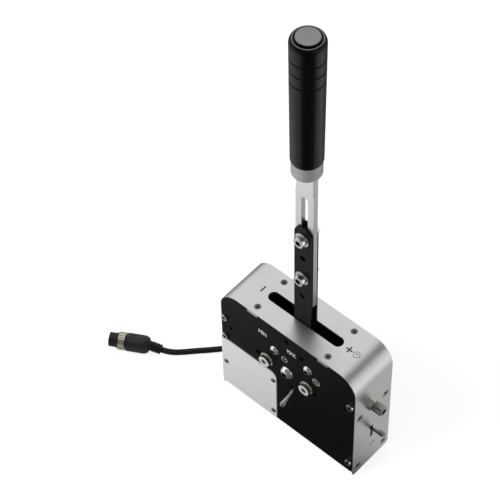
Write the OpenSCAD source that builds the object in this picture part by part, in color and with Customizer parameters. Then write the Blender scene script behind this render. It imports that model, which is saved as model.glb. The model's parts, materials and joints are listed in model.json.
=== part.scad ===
// Sim racing handbrake: a lever box with an upright lever, a height-adjustable handle and a cable.
// X runs along the box, Y from the front plate to the back plate, Z up. The origin is on the
// underside, at the middle of the box. Sizes are millimetres and degrees.

/* [Box] */
// Length of the box along X
box_l = 150; // [146:1:170]
// Depth of the box along Y
box_w = 48; // [46:1:60]
// Height of the box
box_h = 140; // [136:1:160]
// Outer radius of the two upper corners
corner_r = 20; // [16:0.5:26]
// Thickness of the bent metal shell
shell_t = 2.4; // [2:0.1:3]
// Thickness of the front and back plates
plate_t = 2; // [1.5:0.1:2.6]
// Width of the thin shell edge left round the plates
lip_t = 0.5; // [0.3:0.1:0.8]
// Rounding of the shell's and the plates' lower corners
foot_r = 3.5; // [1:0.5:4]
// Thickness of the base plate
base_t = 5; // [4:0.5:7]
// Distance from the box's front face to the base plate's edge
base_inset = 2.8; // [2.6:0.1:5]

/* [Top of the box] */
// Space between the fully tilted lever and the end of its opening
slot_end_gap = 5.7; // [2:0.1:6]
// Space between the lever and the side of its opening
slot_side_gap = 0.75; // [0.4:0.05:2]
// Distance of the shell's tabs and top screws from the middle
tab_x = 38.7; // [34:0.1:42]
// Width of each tab
tab_w = 11; // [9:0.5:12]
// Height of each tab
tab_h = 3.6; // [2.8:0.1:5]
// Distance from the box's face to the top screws
top_screw_inset = 7.2; // [7:0.1:8]
// Height of the small blocks under the top screws
top_block_h = 12; // [10:1:16]
// Depth of the small blocks under the top screws
top_block_d = 10; // [9:0.5:11]
// Distance from the opening's end to the plus or minus mark
mark_gap = 7.3; // [5:0.1:9]
// Length of the plus and minus marks
mark_l = 6.6; // [3:0.1:7]
// Line width of the plus and minus marks
mark_w = 1.4; // [0.8:0.1:1.6]

/* [Lever] */
// Height of the lever's pivot
pivot_z = 87; // [85:0.5:90]
// Tilt of the lever to each side
lever_range = 25; // [15:1:25]
// Width of the two outer lever bars
bar_w = 17.8; // [16:0.2:19]
// Thickness of each outer lever bar
bar_t = 2; // [1.5:0.1:2.2]
// Length of the lever bars above the pivot
bar_up = 178.5; // [170:0.5:220]
// Length of the lever bars below the pivot
bar_down = 15; // [14:0.5:15.5]
// Distance from the bars' top end to the upper clamp bolt
bolt_drop = 13.5; // [12:0.1:24]
// Distance between neighbouring holes in the bars
hole_pitch = 25; // [23:0.1:26]
// Radius of the clamp bolts
bolt_r = 3; // [2.5:0.1:3.1]
// Radius of the clamp bolts' heads
bolt_head_r = 5; // [4.5:0.1:5.5]
// Height of the clamp bolts' heads
bolt_head_h = 4.8; // [4:0.1:8]
// Radius of the washers under the clamp bolts
washer_r = 6.8; // [5.5:0.1:8]
// Thickness of the washers
washer_t = 1.2; // [0.8:0.1:1.6]
// Radius of the pivot shaft
shaft_r = 5; // [4.5:0.1:5.5]
// Wall of the lever's pivot bush
bush_t = 1; // [0.8:0.1:1.5]
// Wall of the two spacer tubes on the pivot shaft
spacer_t = 1.95; // [1.5:0.05:2]

/* [Rocker] */
// Distance from the pivot to the drive pin in the rocker's tail
tail_r = 37; // [36:0.5:38]
// Radius of the rocker's round tail
tail_end_r = 5; // [4.5:0.1:5.5]
// Radius of the drive pin
drive_pin_r = 2.5; // [2:0.1:3]
// Reach of the rocker's arms to each side
wing_x = 24; // [23:0.5:25]
// Height of the rocker's arms
wing_h = 8; // [6:0.5:8.5]

/* [Handle post] */
// Width of the slotted post
post_w = 19; // [17:0.2:20]
// Thickness of the slotted post
post_t = 4.8; // [4:0.1:5]
// Width of the post's long slot
post_slot_w = 6.3; // [6.3:0.1:7.5]
// Distance from the slot's lower end to the lower clamp bolt
slot_below = 10; // [9.5:0.5:12]
// Distance from the slot's upper end to the upper clamp bolt
slot_above = 50; // [46:0.1:56]
// How far the post slides down
slide_down = 40; // [30:1:41]
// Distance from the post's lower end to the slot's lower end
post_foot = 25; // [20:1:26]
// Size of the bevels on the post's upper front edges, across its width
bevel_x = 0.7; // [0.5:0.1:2]
// Size of the bevels on the post's upper front edges, through its thickness
bevel_y = 2.1; // [1:0.1:2.4]

/* [Grip] */
// Distance from the upper clamp bolt to the collar's lower face
collar_up = 80.7; // [74:0.1:100]
// Height of the metal collar
collar_h = 14.3; // [12:0.1:20]
// Radius of the metal collar
collar_r = 12.5; // [11.5:0.1:13]
// Length of the grip above the collar
grip_l = 131.4; // [110:0.1:150]
// Radius of the grip at its lower end
grip_r_low = 13.2; // [12.5:0.1:14]
// Radius of the grip at its upper end
grip_r_top = 14.1; // [13.5:0.1:16]
// Radius of the disc in the grip's top
disc_r = 9.6; // [8:0.1:10.2]
// Radius of the rod inside the grip
core_r = 8; // [6:0.5:9]
// Distance from the grip's top to the first of its three grooves
groove_drop = 19.4; // [16:0.1:30]
// Distance between the grooves
groove_pitch = 11.6; // [8:0.1:16]
// Width of each groove
groove_w = 1.4; // [1:0.1:2]

/* [Stops] */
// Distance of the two stops from the pivot
stop_x = 22.4; // [21.8:0.1:23]
// Distance of the cam's middle from the stop's axis
cam_off = 1.4; // [0.5:0.1:1.4]
// Least height of the cam above its shaft
cam_rim = 0.2; // [0.1:0.1:0.4]
// Radius of the stop's shaft
stop_shaft_r = 3; // [2:0.1:3]
// Radius of the stop's knurled head
stop_head_r = 5.5; // [5:0.1:6]
// Height of the stop's knurled head
stop_head_h = 3.6; // [3:0.1:5]
// Radius of the ring under the stop's head
stop_ring_r = 6.8; // [6.6:0.1:7.2]
// Height of the ring under the stop's head
stop_ring_h = 1; // [0.6:0.1:1.5]
// Distance of the left lock screw from the pivot along X
left_lock_x = -14; // [-16:0.5:-11]
// Distance of the right lock screw from the pivot along X
right_lock_x = 23; // [18:0.5:26]
// Height of the left lock screw above the pivot
left_lock_up = 20; // [18:0.5:28]
// Height of the right lock screw above the pivot
right_lock_up = 25; // [18:0.5:28]

/* [Resistance adjuster] */
// Height of the adjuster's axis above the pivot
adjust_up = 2.5; // [0:0.5:4]
// Place of the adjuster's axis from the middle of the box's depth, towards the back
adjust_y = -2; // [-3:0.5:3]
// Width of the adjuster's nut across its flats
nut_af = 10.5; // [9:0.5:15]
// Height of the adjuster's nut
nut_h = 3.4; // [3:0.1:6]
// Radius of the adjuster's head
adjust_head_r = 4.7; // [4.4:0.1:6]
// Length of the adjuster's head
adjust_head_l = 9.6; // [7:0.1:11]
// Radius of the adjuster's screw
adjust_r = 3; // [2.5:0.1:3.2]
// Space between the adjuster's screw and the cam of the right stop
adjust_stop_gap = 1.6; // [1:0.1:4]

/* [Spring drive] */
// Radius of the guide rod
rod_r = 3; // [2.5:0.1:3.2]
// Distance from the drive pin down to the guide rod
rod_drop = 16; // [15.5:0.1:16.5]
// Half the length of the shuttle
shuttle_x = 9; // [8:0.5:10]
// Wall of the shuttle's two cheeks
cheek_t = 5; // [4:0.5:5]
// Distance from the corner blocks to the carriage and to the left spring seat
seat_gap = 16; // [15:0.5:17]
// Thickness of the carriage
carriage_t = 8; // [7:0.5:8]
// Mean radius of the springs
spring_r = 5.2; // [5:0.1:5.6]
// Radius of the spring wire
wire_r = 0.8; // [0.5:0.1:0.9]
// Number of turns of each spring
spring_turns = 6; // [4:1:7]

/* [Blocks in the box] */
// Length of the four corner blocks along X
block_l = 14.6; // [14:0.1:15]
// Distance from the start of the rounded corner down to the upper blocks
block_drop = 10; // [4:0.5:12]
// Distance from the pivot down to the underside of the upper blocks
block_below = 13; // [12:0.5:14]
// Top of the lower corner blocks
lower_block_top = 42; // [41:0.5:43]

/* [Fixing holes] */
// Distance from the box's end to the side fixing holes
side_hole_inset = 11; // [10:0.5:12]
// Distance between the side fixing holes along Z
side_hole_z = 58; // [56:0.5:60]
// Height of the lower side fixing holes
side_hole_low = 35; // [34.5:0.5:36]
// Depth of the side fixing holes
side_hole_d = 14; // [8:0.5:14]
// Distance between the base fixing holes along X
base_hole_x = 90; // [60:1:100]
// Distance between the base fixing holes along Y
base_hole_y = 26; // [20:1:28]
// Radius of the tapped fixing holes
fixing_r = 2.5; // [2:0.1:3]

/* [Front cover] */
// Right edge of the front cover
cover_x = -11.7; // [-14:0.1:-10]
// Lower edge of the front cover
cover_low = 6.5; // [6:0.1:10]
// Upper edge of the front cover
cover_top = 72.6; // [70:0.1:73]
// Thickness of the front cover
cover_t = 1; // [0.6:0.1:1.6]
// Radius of the front cover's upper right corner
cover_r = 6.5; // [3:0.5:10]

/* [Switches] */
// Radius of the switch levers where they leave the box
bat_r = 1.4; // [1:0.1:1.4]
// Radius of the switch levers' thick tips
bat_tip_r = 2.9; // [2:0.1:3.4]
// Height of the end switch's pivot
end_switch_z = 45; // [44.8:0.1:46]
// Length of the end switch's slot
end_slot_l = 17; // [14:0.5:18]
// Space beside a switch lever in its slot
bat_gap = 0.3; // [0.2:0.05:0.6]
// Depth of the end switch's pivot below the face
end_switch_d = 8.7; // [8.5:0.1:9.5]
// Tilt of the end switch's lever
end_switch_tilt = 19; // [10:1:19]
// Length of the end switch's lever outside the box
end_bat_l = 15; // [10:0.5:18]
// Place of the front switch along X
front_switch_x = 5.5; // [2:0.5:8]
// Distance from the lever's pivot down to the front switch's pivot
front_switch_drop = 20.4; // [20:0.1:22]
// Depth of the front switch's pivot below the face
front_switch_d = 6; // [5.8:0.1:6.5]
// Tilt of the front switch's lever
front_switch_tilt = 29; // [15:1:29]
// Length of the front switch's lever outside the box
front_bat_l = 16; // [10:0.5:18]

/* [Screws] */
// Radius of the plate, end and top screws
screw_r = 2; // [1.5:0.1:2.1]
// Radius of the plate screws' heads
cap_head_r = 3.4; // [3:0.1:3.6]
// Height of the plate screws' heads
cap_head_h = 2.4; // [1.8:0.1:4]
// Radius of the countersunk heads
flush_head_r = 3.6; // [3.4:0.1:4]
// Radius of the top screws
top_screw_r = 1.5; // [1.2:0.1:1.7]
// Radius of the top screws' countersunk heads
top_head_r = 2.9; // [2.6:0.1:3.2]
// Depth of the countersunk heads below the surface
flush_sink = 0.3; // [0.1:0.1:0.6]
// Distance of the plate screws from the box's ends
plate_screw_inset = 4.8; // [4.7:0.1:5.5]
// Radius of the cover screws' heads
cover_head_r = 2.8; // [2.4:0.1:3.2]
// Radius of the pivot screws' heads
pivot_head_r = 6.8; // [5.5:0.1:7.5]
// Height of the pivot screws' heads
pivot_head_h = 4.4; // [3:0.1:5]
// Radius of the lock screws' domed heads
lock_head_r = 4.8; // [4:0.1:5.2]
// Height of the lock screws' domed heads
lock_head_h = 2.8; // [2:0.1:3.5]

/* [Sensor] */
// Width of the sensor board
board_w = 28; // [26:1:32]
// Height of the sensor board
board_h = 18; // [17:0.5:18.5]
// Thickness of the sensor board
board_t = 1.6; // [1:0.2:2]
// Distance of the sensor board from the middle of the box
board_y = 9; // [8.8:0.1:11]
// Radius of the lever's magnet
magnet_r = 2.6; // [2:0.1:3]
// Thickness of the lever's magnet
magnet_t = 2; // [1:0.1:2.5]

/* [Cable] */
// Radius of the cable
cord_r = 2.75; // [2:0.05:3]
// Radius of the cable gland's flange
gland_r = 5.5; // [4.5:0.1:6.5]
// Radius of the cable gland's neck
gland_neck_r = 4; // [3:0.1:4]
// Radius of the plug's body
plug_r = 8.5; // [7:0.1:8.5]
// Length of the plug's body
plug_l = 21; // [18:0.5:26]
// Radius of the plug's ring nut
plug_nut_r = 8.3; // [7:0.1:8.5]
// Length of the plug's ring nut
plug_nut_l = 6; // [5:0.5:12]
// Radius of the plug's barrel
plug_barrel_r = 6.6; // [5.5:0.1:7]
// Length of the plug's barrel beyond the ring nut
plug_barrel_l = 8.7; // [6:0.1:12]
// Length of the plug's strain relief
relief_l = 10.7; // [10:0.1:11.5]

/* [Hidden] */
$fn = 64;

// Clearances
run = 0.05;
mouth_gap = 0.15;
press = 0.02;
loose = 0.3;
over = 1;

// Box faces
half_l = box_l / 2;
half_w = box_w / 2;
inner_x = half_l - shell_t;
inner_y = half_w - plate_t;
inner_top = box_h - shell_t;
base_y = half_w - base_inset;

// Lever, from the middle outwards and from the pivot upwards
core_y = post_t / 2 + run;
lever_y = core_y + bar_t;
bar_top_z = pivot_z + bar_up;
upper_bolt_z = bar_top_z - bolt_drop;
lower_bolt_z = upper_bolt_z - 2 * hole_pitch;
lever_reach = (box_h - pivot_z) * tan(lever_range) + bar_w / 2 / cos(lever_range);
slot_l = 2 * (lever_reach + slot_end_gap);
slot_w = 2 * (lever_y + slot_side_gap);
mark_x = slot_l / 2 + mark_gap;
mark_d = 0.3;
top_screw_y = half_w - top_screw_inset;
bush_r = shaft_r + run + bush_t;
spacer_r = shaft_r + run + spacer_t;
slot_low_z = lower_bolt_z - slot_below;
slot_high_z = upper_bolt_z + slot_above;
post_low_z = slot_low_z - post_foot;
bevel_up = 7;
bevel_z = slot_high_z + bevel_up;
rocker_top_z = post_low_z - slide_down - 4;
collar_z = upper_bolt_z + collar_up;
grip_z = collar_z + collar_h;
grip_top_z = grip_z + grip_l;
tang_w = 10;
tang_l = 25;
core_top_z = grip_top_z - 6;
shoulder_h = 5;
shoulder_w = grip_r_top - disc_r - 1.6;
disc_proud = 1.6;
rim_z = grip_top_z - disc_proud;
bar_round = bar_w / 2;
bolt_places = [upper_bolt_z, lower_bolt_z];
bolt_nut_h = 5;
bolt_nut_af = 10;
pivot_tap_d = 12;
pivot_tap = inner_y - pivot_tap_d;
pivot_shank = 11;
rivet_r = 2.5;
rivet_drop = 8;
rivet_pitch = 10;
rivet_z = [rocker_top_z - rivet_drop, rocker_top_z - rivet_drop - rivet_pitch];

// Stops
cam_r = stop_shaft_r + cam_off + cam_rim;
stop_reach = cam_r + cam_off;
stop_spare_angle = 1.5;
cam_y = core_y + 0.6;
stop_head_y = -half_w - stop_ring_h - 0.2;
stop_socket_af = 5;
knurls = 24;
knurl_r = 0.35;
wing_top_z = pivot_z - stop_x * sin(lever_range + stop_spare_angle) - stop_reach;
ring_neck_r = stop_reach + 0.1;
lock_places = [[left_lock_x, pivot_z + left_lock_up], [right_lock_x, pivot_z + right_lock_up]];
lock_shank_r = 2.5;

// Spring drive
pin_z = pivot_z - tail_r;
rod_z = pin_z - rod_drop;
channel_y = core_y + 0.55;
cheek_y = channel_y + cheek_t;
pin_gap = 0.4;
pin_cover = 8;
channel_h = 12;
adjust_z = pivot_z + adjust_up;
adjust_head_x = half_l + nut_h + 0.2;
adjust_socket_af = 5.2;
carriage_y = 7;
slider_foot = 7;
seat_t = 4;
rod_hold = 8;
coil_steps = 12;
coil_sides = 6;

// Corner blocks and the screws in them
block_x = inner_x - block_l;
seat_x = block_x - seat_gap;
upper_block_top = box_h - corner_r - block_drop;
upper_block_low = pivot_z - block_below;
side_hole_x = half_l - side_hole_inset;
plate_screw_x = half_l - plate_screw_inset;
block_edge = 5.5;
middle_screw_up = 3.6;
lower_screw_up = 14;
end_screw_in = 5;
end_screw_up = 9.5;
end_screw_foot = 4;
base_screw_in = 7;
upper_screw_z = upper_block_top - block_edge;
middle_screw_z = upper_block_low + middle_screw_up;
lower_screw_z = base_t + lower_screw_up;
end_screw_y = inner_y - end_screw_in;
end_screw_high = upper_block_low + end_screw_up;
end_screw_low = base_t + end_screw_foot;
base_screw_x = block_x + base_screw_in;
base_screw_y = inner_y - 2 * end_screw_in;
top_shank = top_block_h - 1;
end_shank = 14;
base_shank = base_t + 9;
plate_shank = 9;
cover_shank = 7;
front_screws = [
    [-plate_screw_x, upper_screw_z], [-plate_screw_x, middle_screw_z],
    [plate_screw_x, upper_screw_z], [plate_screw_x, lower_screw_z]
];
back_screws = [
    [-plate_screw_x, upper_screw_z], [-plate_screw_x, lower_screw_z],
    [plate_screw_x, upper_screw_z], [plate_screw_x, lower_screw_z]
];
cover_screw_in = 3.3;
cover_screw_down = 10.6;
cover_screw_up = 8.9;
cover_screw_rise = 32.5;
cover_screw_mid = cover_low + cover_screw_rise;
cover_screws_at = [
    [-plate_screw_x, cover_screw_mid], [cover_x - cover_screw_in, cover_top - cover_screw_down],
    [cover_x - cover_screw_in, cover_low + cover_screw_up]
];
cover_screw_r = 1.5;
cover_head_h = 1.4;
spare_hole_r = 3.1;
spare_out = 9.6;
spare_in = 9.1;
spare_drop = 4;
spare_top_drop = 8.5;
spare_side_x = 16;
spare_side_drop = 17.5;
spare_holes = [
    [-stop_x - spare_out, pivot_z], [0, box_h - spare_top_drop],
    [spare_side_x, box_h - spare_side_drop], [stop_x + spare_in, pivot_z - spare_drop]
];

// Switches
switch_l = 14.1;
switch_w = 13;
switch_h = 13.4;
switch_slot_h = 10.4;
hub_r = 3;
hub_pin_r = 1;
front_switch_z = pivot_z - front_switch_drop;
front_slot_l = 2 * (front_switch_d * tan(front_switch_tilt) + bat_r / cos(front_switch_tilt) + 0.5);

// Sensor
board_top_z = pivot_z - 9;
magnet_drop = 11;
magnet_z = pivot_z - magnet_drop;
post_r = 2;

// Cable: the outlet is at the first point and the plug's strain relief at the last
outlet_y = 5;
outlet_z = 14;
gland_h = 2.5;
cord_points = [
    [-half_l - gland_h, outlet_y, outlet_z], [-half_l - gland_h - 5, outlet_y, outlet_z],
    [-89, 4.2, 11.4], [-94, 2.4, 6.8], [-99, -0.5, 3.8], [-104.5, -5.8, 2.9], [-110.5, -12, cord_r],
    [-117, -18.8, cord_r], [-123.5, -25.8, 2.8], [-129, -31.2, 3], [-133, -34.4, 3.5],
    [-136.4, -36.6, 4.2], [-139.4, -38.3, 5]
];
cord_sides = 10;
plug_at = [-149, -43.6, 8.5];
plug_turn = 210;
relief_end = cord_points[len(cord_points) - 1];
relief_r_plug = 4.4;
relief_r_cord = 3.9;
relief_rib_r = 4.7;
relief_rib_step = 0.05;
relief_rib_w = 1.3;
relief_ribs = 5;
plug_gap = 1.2;
plug_flange_l = 1.6;
plug_flange_r = 7.3;
relief_in = 2.2;
plug_shoulder = 3.2;
plug_shoulder_l = 6;
plug_chamfer = 0.8;

// Solids between two places along one axis
module along_y(y0, y1) {
    translate([0, y1, 0]) rotate([90, 0, 0]) linear_extrude(y1 - y0) children();
}

module along_x(x0, x1) {
    translate([x0, 0, 0]) rotate([90, 0, 90]) linear_extrude(x1 - x0) children();
}

module rod_x(r, x0, x1) {
    translate([x0, 0, 0]) rotate([0, 90, 0]) cylinder(r = r, h = x1 - x0);
}

module rod_y(r, y0, y1) {
    translate([0, y0, 0]) rotate([-90, 0, 0]) cylinder(r = r, h = y1 - y0);
}

// Turns a solid that stands on z = 0 so that its top faces the front, back or an end
module face_front(x, z, y = -half_w) {
    translate([x, y, z]) rotate([90, 0, 0]) children();
}

module face_back(x, z, y = half_w) {
    translate([x, y, z]) rotate([-90, 0, 0]) children();
}

module face_end(side, y, z) {
    translate([side * half_l, y, z]) rotate([0, side * 90, 0]) children();
}

// Outline of the box seen from the front, drawn in by one size
module box_outline(in, low) {
    w = half_l - in;
    bend_z = box_h - corner_r;
    translate([-w, low]) square([2 * w, bend_z - low]);
    translate([-(half_l - corner_r), low]) square([2 * (half_l - corner_r), box_h - in - low]);
    for (s = [-1, 1])
        translate([s * (half_l - corner_r), bend_z]) circle(corner_r - in, $fn = 96);
}

// Rectangle with round corners
module round_box(w, h, r) {
    translate([-w / 2, r - h / 2]) square([w, h - 2 * r]);
    translate([r - w / 2, -h / 2]) square([w - 2 * r, h]);
    for (x = [-1, 1], y = [-1, 1])
        translate([x * (w / 2 - r), y * (h / 2 - r)]) circle(r);
}

// Long slot with round ends, upright
module long_slot(w, l) {
    translate([-w / 2, -(l - w) / 2]) square([w, l - w]);
    for (s = [-1, 1])
        translate([0, s * (l - w) / 2]) circle(w / 2);
}

// Fasteners, standing on z = 0 with the shank below it
module hex_socket(af, depth, top) {
    translate([0, 0, top - depth]) cylinder(d = af / cos(30), h = depth + over, $fn = 6);
}

module cap_screw(r, head_r, head_h, shank) {
    difference() {
        union() {
            cylinder(r = head_r, h = head_h - 0.3);
            translate([0, 0, head_h - 0.3]) cylinder(r1 = head_r, r2 = head_r - 0.3, h = 0.3);
            translate([0, 0, -shank]) cylinder(r = r, h = shank);
        }
        hex_socket(head_r, head_h * 0.65, head_h);
    }
}

module domed_screw(r, head_r, head_h, shank) {
    dome_r = (head_r * head_r + head_h * head_h) / (2 * head_h);
    difference() {
        union() {
            intersection() {
                translate([0, 0, head_h - dome_r]) sphere(dome_r);
                cylinder(r = head_r, h = head_h);
            }
            translate([0, 0, -shank]) cylinder(r = r, h = shank);
        }
        hex_socket(head_r * 0.9, head_h * 0.7, head_h);
    }
}

module flush_screw(shank, r = screw_r, head_r = flush_head_r) {
    low = r - head_r - flush_sink;
    difference() {
        union() {
            translate([0, 0, low]) cylinder(r1 = r, r2 = head_r, h = head_r - r);
            translate([0, 0, -shank]) cylinder(r = r, h = shank + low);
        }
        translate([0, 0, -flush_sink]) hex_socket(r * 1.5, head_r - r + 0.5, 0);
    }
}

module flush_hole(shank, r = screw_r, head_r = flush_head_r) {
    translate([0, 0, r - head_r - flush_sink])
        cylinder(r1 = r + run, r2 = head_r + run, h = head_r - r);
    translate([0, 0, -shank]) cylinder(r = r + run, h = shank);
    translate([0, 0, -flush_sink]) cylinder(r = head_r + mouth_gap, h = over);
}

module top_screw_places() {
    for (x = [-1, 1], y = [-1, 1])
        translate([x * tab_x, y * top_screw_y, box_h]) children();
}

module end_screw_places() {
    for (s = [-1, 1], y = [-1, 1], z = [end_screw_low, end_screw_high])
        face_end(s, y * end_screw_y, z) children();
}

module base_screw_places() {
    for (x = [-1, 1], y = [-1, 1])
        translate([x * base_screw_x, y * base_screw_y, 0]) rotate([180, 0, 0]) children();
}

// Box
module shell_end_slot() {
    translate([0, 0, end_switch_z])
        along_x(inner_x - over, half_l + over)
        long_slot(2 * (bat_r + bat_gap), end_slot_l);
}

module shell_marks() {
    for (s = [-1, 1])
        translate([s * mark_x, 0, box_h - mark_d + over / 2])
        cube([mark_w, mark_l, over], center = true);
    translate([mark_x, 0, box_h - mark_d + over / 2]) cube([mark_l, mark_w, over], center = true);
}

module tabs() {
    for (s = [-1, 1])
        translate([s * tab_x - tab_w / 2, box_h - tab_h]) square([tab_w, tab_h + over]);
}

module shell() {
    color("silver") difference() {
        intersection() {
            along_y(-half_w, half_w) box_outline(0, 0);
            along_x(-half_l - over, half_l + over) translate([0, box_h])
                round_box(box_w, 2 * box_h, foot_r);
        }
        along_y(-half_w - over, half_w + over) difference() {
            box_outline(shell_t, -over);
            tabs();
        }
        along_y(-inner_y, inner_y) box_outline(shell_t, -over);
        for (y = [-half_w - over, inner_y])
            along_y(y, y + plate_t + over) difference() {
                box_outline(lip_t, -over);
                tabs();
            }
        translate([0, 0, inner_top - over]) linear_extrude(shell_t + 2 * over)
            rotate(90) long_slot(slot_w, slot_l);
        shell_end_slot();
        translate([0, adjust_y, adjust_z]) rod_x(adjust_r + run, inner_x - over, half_l + over);
        translate([0, outlet_y, outlet_z]) rod_x(gland_neck_r + run, -half_l - over, -inner_x + over);
        top_screw_places() flush_hole(top_shank, top_screw_r, top_head_r);
        end_screw_places() flush_hole(end_shank);
        shell_marks();
    }
}

// One of the two large side plates, facing the front; its holes are cut by the caller
module side_plate() {
    along_y(-half_w, -inner_y) difference() {
        intersection() {
            box_outline(lip_t, base_t);
            translate([0, base_t + box_h]) round_box(box_l - 2 * lip_t, 2 * box_h, foot_r);
        }
        tabs();
    }
}

module plate_hole(x, z, r) {
    face_front(x, z, -half_w - over) translate([0, 0, -plate_t - 2 * over])
        cylinder(r = r, h = plate_t + 2 * over);
}

module side_holes(r) {
    for (x = [-1, 1], z = [side_hole_low, side_hole_low + side_hole_z])
        plate_hole(x * side_hole_x, z, r);
}

module front_plate() {
    color([0.07, 0.07, 0.08]) difference() {
        side_plate();
        side_holes(fixing_r);
        for (p = front_screws) plate_hole(p[0], p[1], screw_r + run);
        for (p = cover_screws_at) plate_hole(p[0], p[1], cover_screw_r + run);
        for (p = spare_holes) plate_hole(p[0], p[1], spare_hole_r);
        for (s = [-1, 1]) plate_hole(s * stop_x, pivot_z, ring_neck_r + press);
        for (p = lock_places) plate_hole(p[0], p[1], lock_shank_r + run);
        plate_hole(0, pivot_z, bolt_r + run);
        translate([front_switch_x, 0, front_switch_z]) along_y(-half_w - over, -inner_y + over)
            long_slot(2 * (bat_r + bat_gap), front_slot_l);
    }
}

module back_plate() {
    color([0.07, 0.07, 0.08]) mirror([0, 1, 0]) difference() {
        side_plate();
        side_holes(fixing_r);
        for (p = back_screws) plate_hole(p[0], p[1], screw_r + run);
        for (s = [-1, 1]) plate_hole(s * stop_x, pivot_z, stop_shaft_r + run);
        plate_hole(0, pivot_z, bolt_r + run);
    }
}

module base_plate() {
    color([0.06, 0.06, 0.07]) difference() {
        translate([-inner_x, -base_y, 0]) cube([2 * inner_x, 2 * base_y, base_t]);
        for (x = [-1, 1], y = [-1, 1])
            translate([x * base_hole_x / 2, y * base_hole_y / 2, -over])
            cylinder(r = fixing_r, h = base_t + 2 * over);
        base_screw_places() flush_hole(base_t + over);
        end_screw_places() flush_hole(end_shank);
    }
}

module front_cover() {
    color([0.82, 0.82, 0.82]) difference() {
        along_y(-half_w - cover_t, -half_w) union() {
            translate([-half_l, cover_low]) square([cover_x + half_l, cover_top - cover_r - cover_low]);
            translate([-half_l, cover_low]) square([cover_x - cover_r + half_l, cover_top - cover_low]);
            translate([cover_x - cover_r, cover_top - cover_r]) circle(cover_r);
        }
        for (p = cover_screws_at)
            translate([p[0], 0, p[1]])
                rod_y(cover_screw_r + run, -half_w - cover_t - over, -half_w + over);
    }
}

// Corner blocks
module corner_block(side, low, top) {
    x = side * (block_x + block_l / 2);
    color([0.6, 0.6, 0.62]) difference() {
        translate([x - block_l / 2, -inner_y, low]) cube([block_l, 2 * inner_y, top - low]);
        end_screw_places() flush_hole(end_shank);
        for (s = [-1, 1])
            translate([side * side_hole_x, s * (inner_y - side_hole_d / 2), 0])
            for (z = [side_hole_low, side_hole_low + side_hole_z])
                translate([0, 0, z]) rod_y(fixing_r, -side_hole_d / 2, side_hole_d / 2);
        for (p = front_screws) block_screw_hole(-1, p);
        for (p = back_screws) block_screw_hole(1, p);
        children();
    }
}

module block_screw_hole(side, p) {
    middle = side * (inner_y - plate_shank / 2);
    translate([p[0], middle, p[1]]) rod_y(screw_r + run, -plate_shank / 2, plate_shank / 2);
}

module upper_left_block() {
    corner_block(-1, upper_block_low, upper_block_top);
}

module upper_right_block() {
    corner_block(1, upper_block_low, upper_block_top)
        translate([0, adjust_y, adjust_z]) rod_x(adjust_r + run, block_x - over, inner_x + over);
}

module lower_left_block() {
    corner_block(-1, base_t, lower_block_top) {
        base_screw_places() flush_hole(base_shank);
        translate([0, 0, rod_z]) rod_x(rod_r + press, -block_x - rod_hold, -block_x + over);
        translate([0, outlet_y, outlet_z]) rod_x(gland_neck_r + run, -inner_x - over, -block_x + over);
        for (p = cover_screws_at)
            translate([p[0], 0, p[1]]) rod_y(cover_screw_r + run, -inner_y - over, -inner_y + cover_shank);
    }
}

module lower_right_block() {
    corner_block(1, base_t, lower_block_top) {
        base_screw_places() flush_hole(base_shank);
        translate([0, 0, rod_z]) rod_x(rod_r + press, block_x - over, block_x + rod_hold);
        translate([block_x - over, -switch_w / 2 - press, end_switch_z - switch_h / 2])
            cube([block_l + 2 * over, switch_w + 2 * press, switch_h]);
    }
}

module top_block(sx, sy) {
    y0 = inner_y - top_block_d;
    color([0.6, 0.6, 0.62]) difference() {
        translate([sx * tab_x - tab_w / 2, sy > 0 ? y0 : -inner_y, inner_top - top_block_h])
            cube([tab_w, top_block_d, top_block_h]);
        top_screw_places() flush_hole(top_shank, top_screw_r, top_head_r);
    }
}

module front_left_top_block() { top_block(-1, -1); }
module front_right_top_block() { top_block(1, -1); }
module back_left_top_block() { top_block(-1, 1); }
module back_right_top_block() { top_block(1, 1); }

// Screws of the box
module countersunk_screws() {
    color("silver") {
        top_screw_places() flush_screw(top_shank, top_screw_r, top_head_r);
        end_screw_places() flush_screw(end_shank);
        base_screw_places() flush_screw(base_shank);
    }
}

module plate_screws() {
    color([0.75, 0.75, 0.75]) {
        for (p = front_screws)
            face_front(p[0], p[1]) cap_screw(screw_r, cap_head_r, cap_head_h, plate_t + plate_shank - over);
        for (p = back_screws)
            face_back(p[0], p[1]) cap_screw(screw_r, cap_head_r, cap_head_h, plate_t + plate_shank - over);
    }
}

module cover_screws() {
    color([0.3, 0.3, 0.3])
        for (p = cover_screws_at)
            face_front(p[0], p[1], -half_w - cover_t)
            domed_screw(cover_screw_r, cover_head_r, cover_head_h, cover_t + plate_t + cover_shank - over);
}

// Pivot
module pivot_shaft() {
    color([0.7, 0.7, 0.7]) difference() {
        rod_y_at_pivot(shaft_r, -inner_y, inner_y);
        rod_y_at_pivot(bolt_r + run, -inner_y - over, -pivot_tap);
        rod_y_at_pivot(bolt_r + run, pivot_tap, inner_y + over);
    }
}

module rod_y_at_pivot(r, y0, y1) {
    translate([0, 0, pivot_z]) rod_y(r, y0, y1);
}

module pivot_screws() {
    color([0.75, 0.75, 0.75]) {
        face_front(0, pivot_z) domed_screw(bolt_r, pivot_head_r, pivot_head_h, plate_t + pivot_shank);
        face_back(0, pivot_z) domed_screw(bolt_r, pivot_head_r, pivot_head_h, plate_t + pivot_shank);
    }
}

module spacer(y0, y1) {
    color([0.7, 0.7, 0.7]) difference() {
        rod_y_at_pivot(spacer_r, y0, y1);
        rod_y_at_pivot(shaft_r + run, y0 - over, y1 + over);
    }
}

module front_spacer() { spacer(-inner_y, -lever_y - 0.15); }
module back_spacer() { spacer(lever_y + 0.15, inner_y); }

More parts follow.
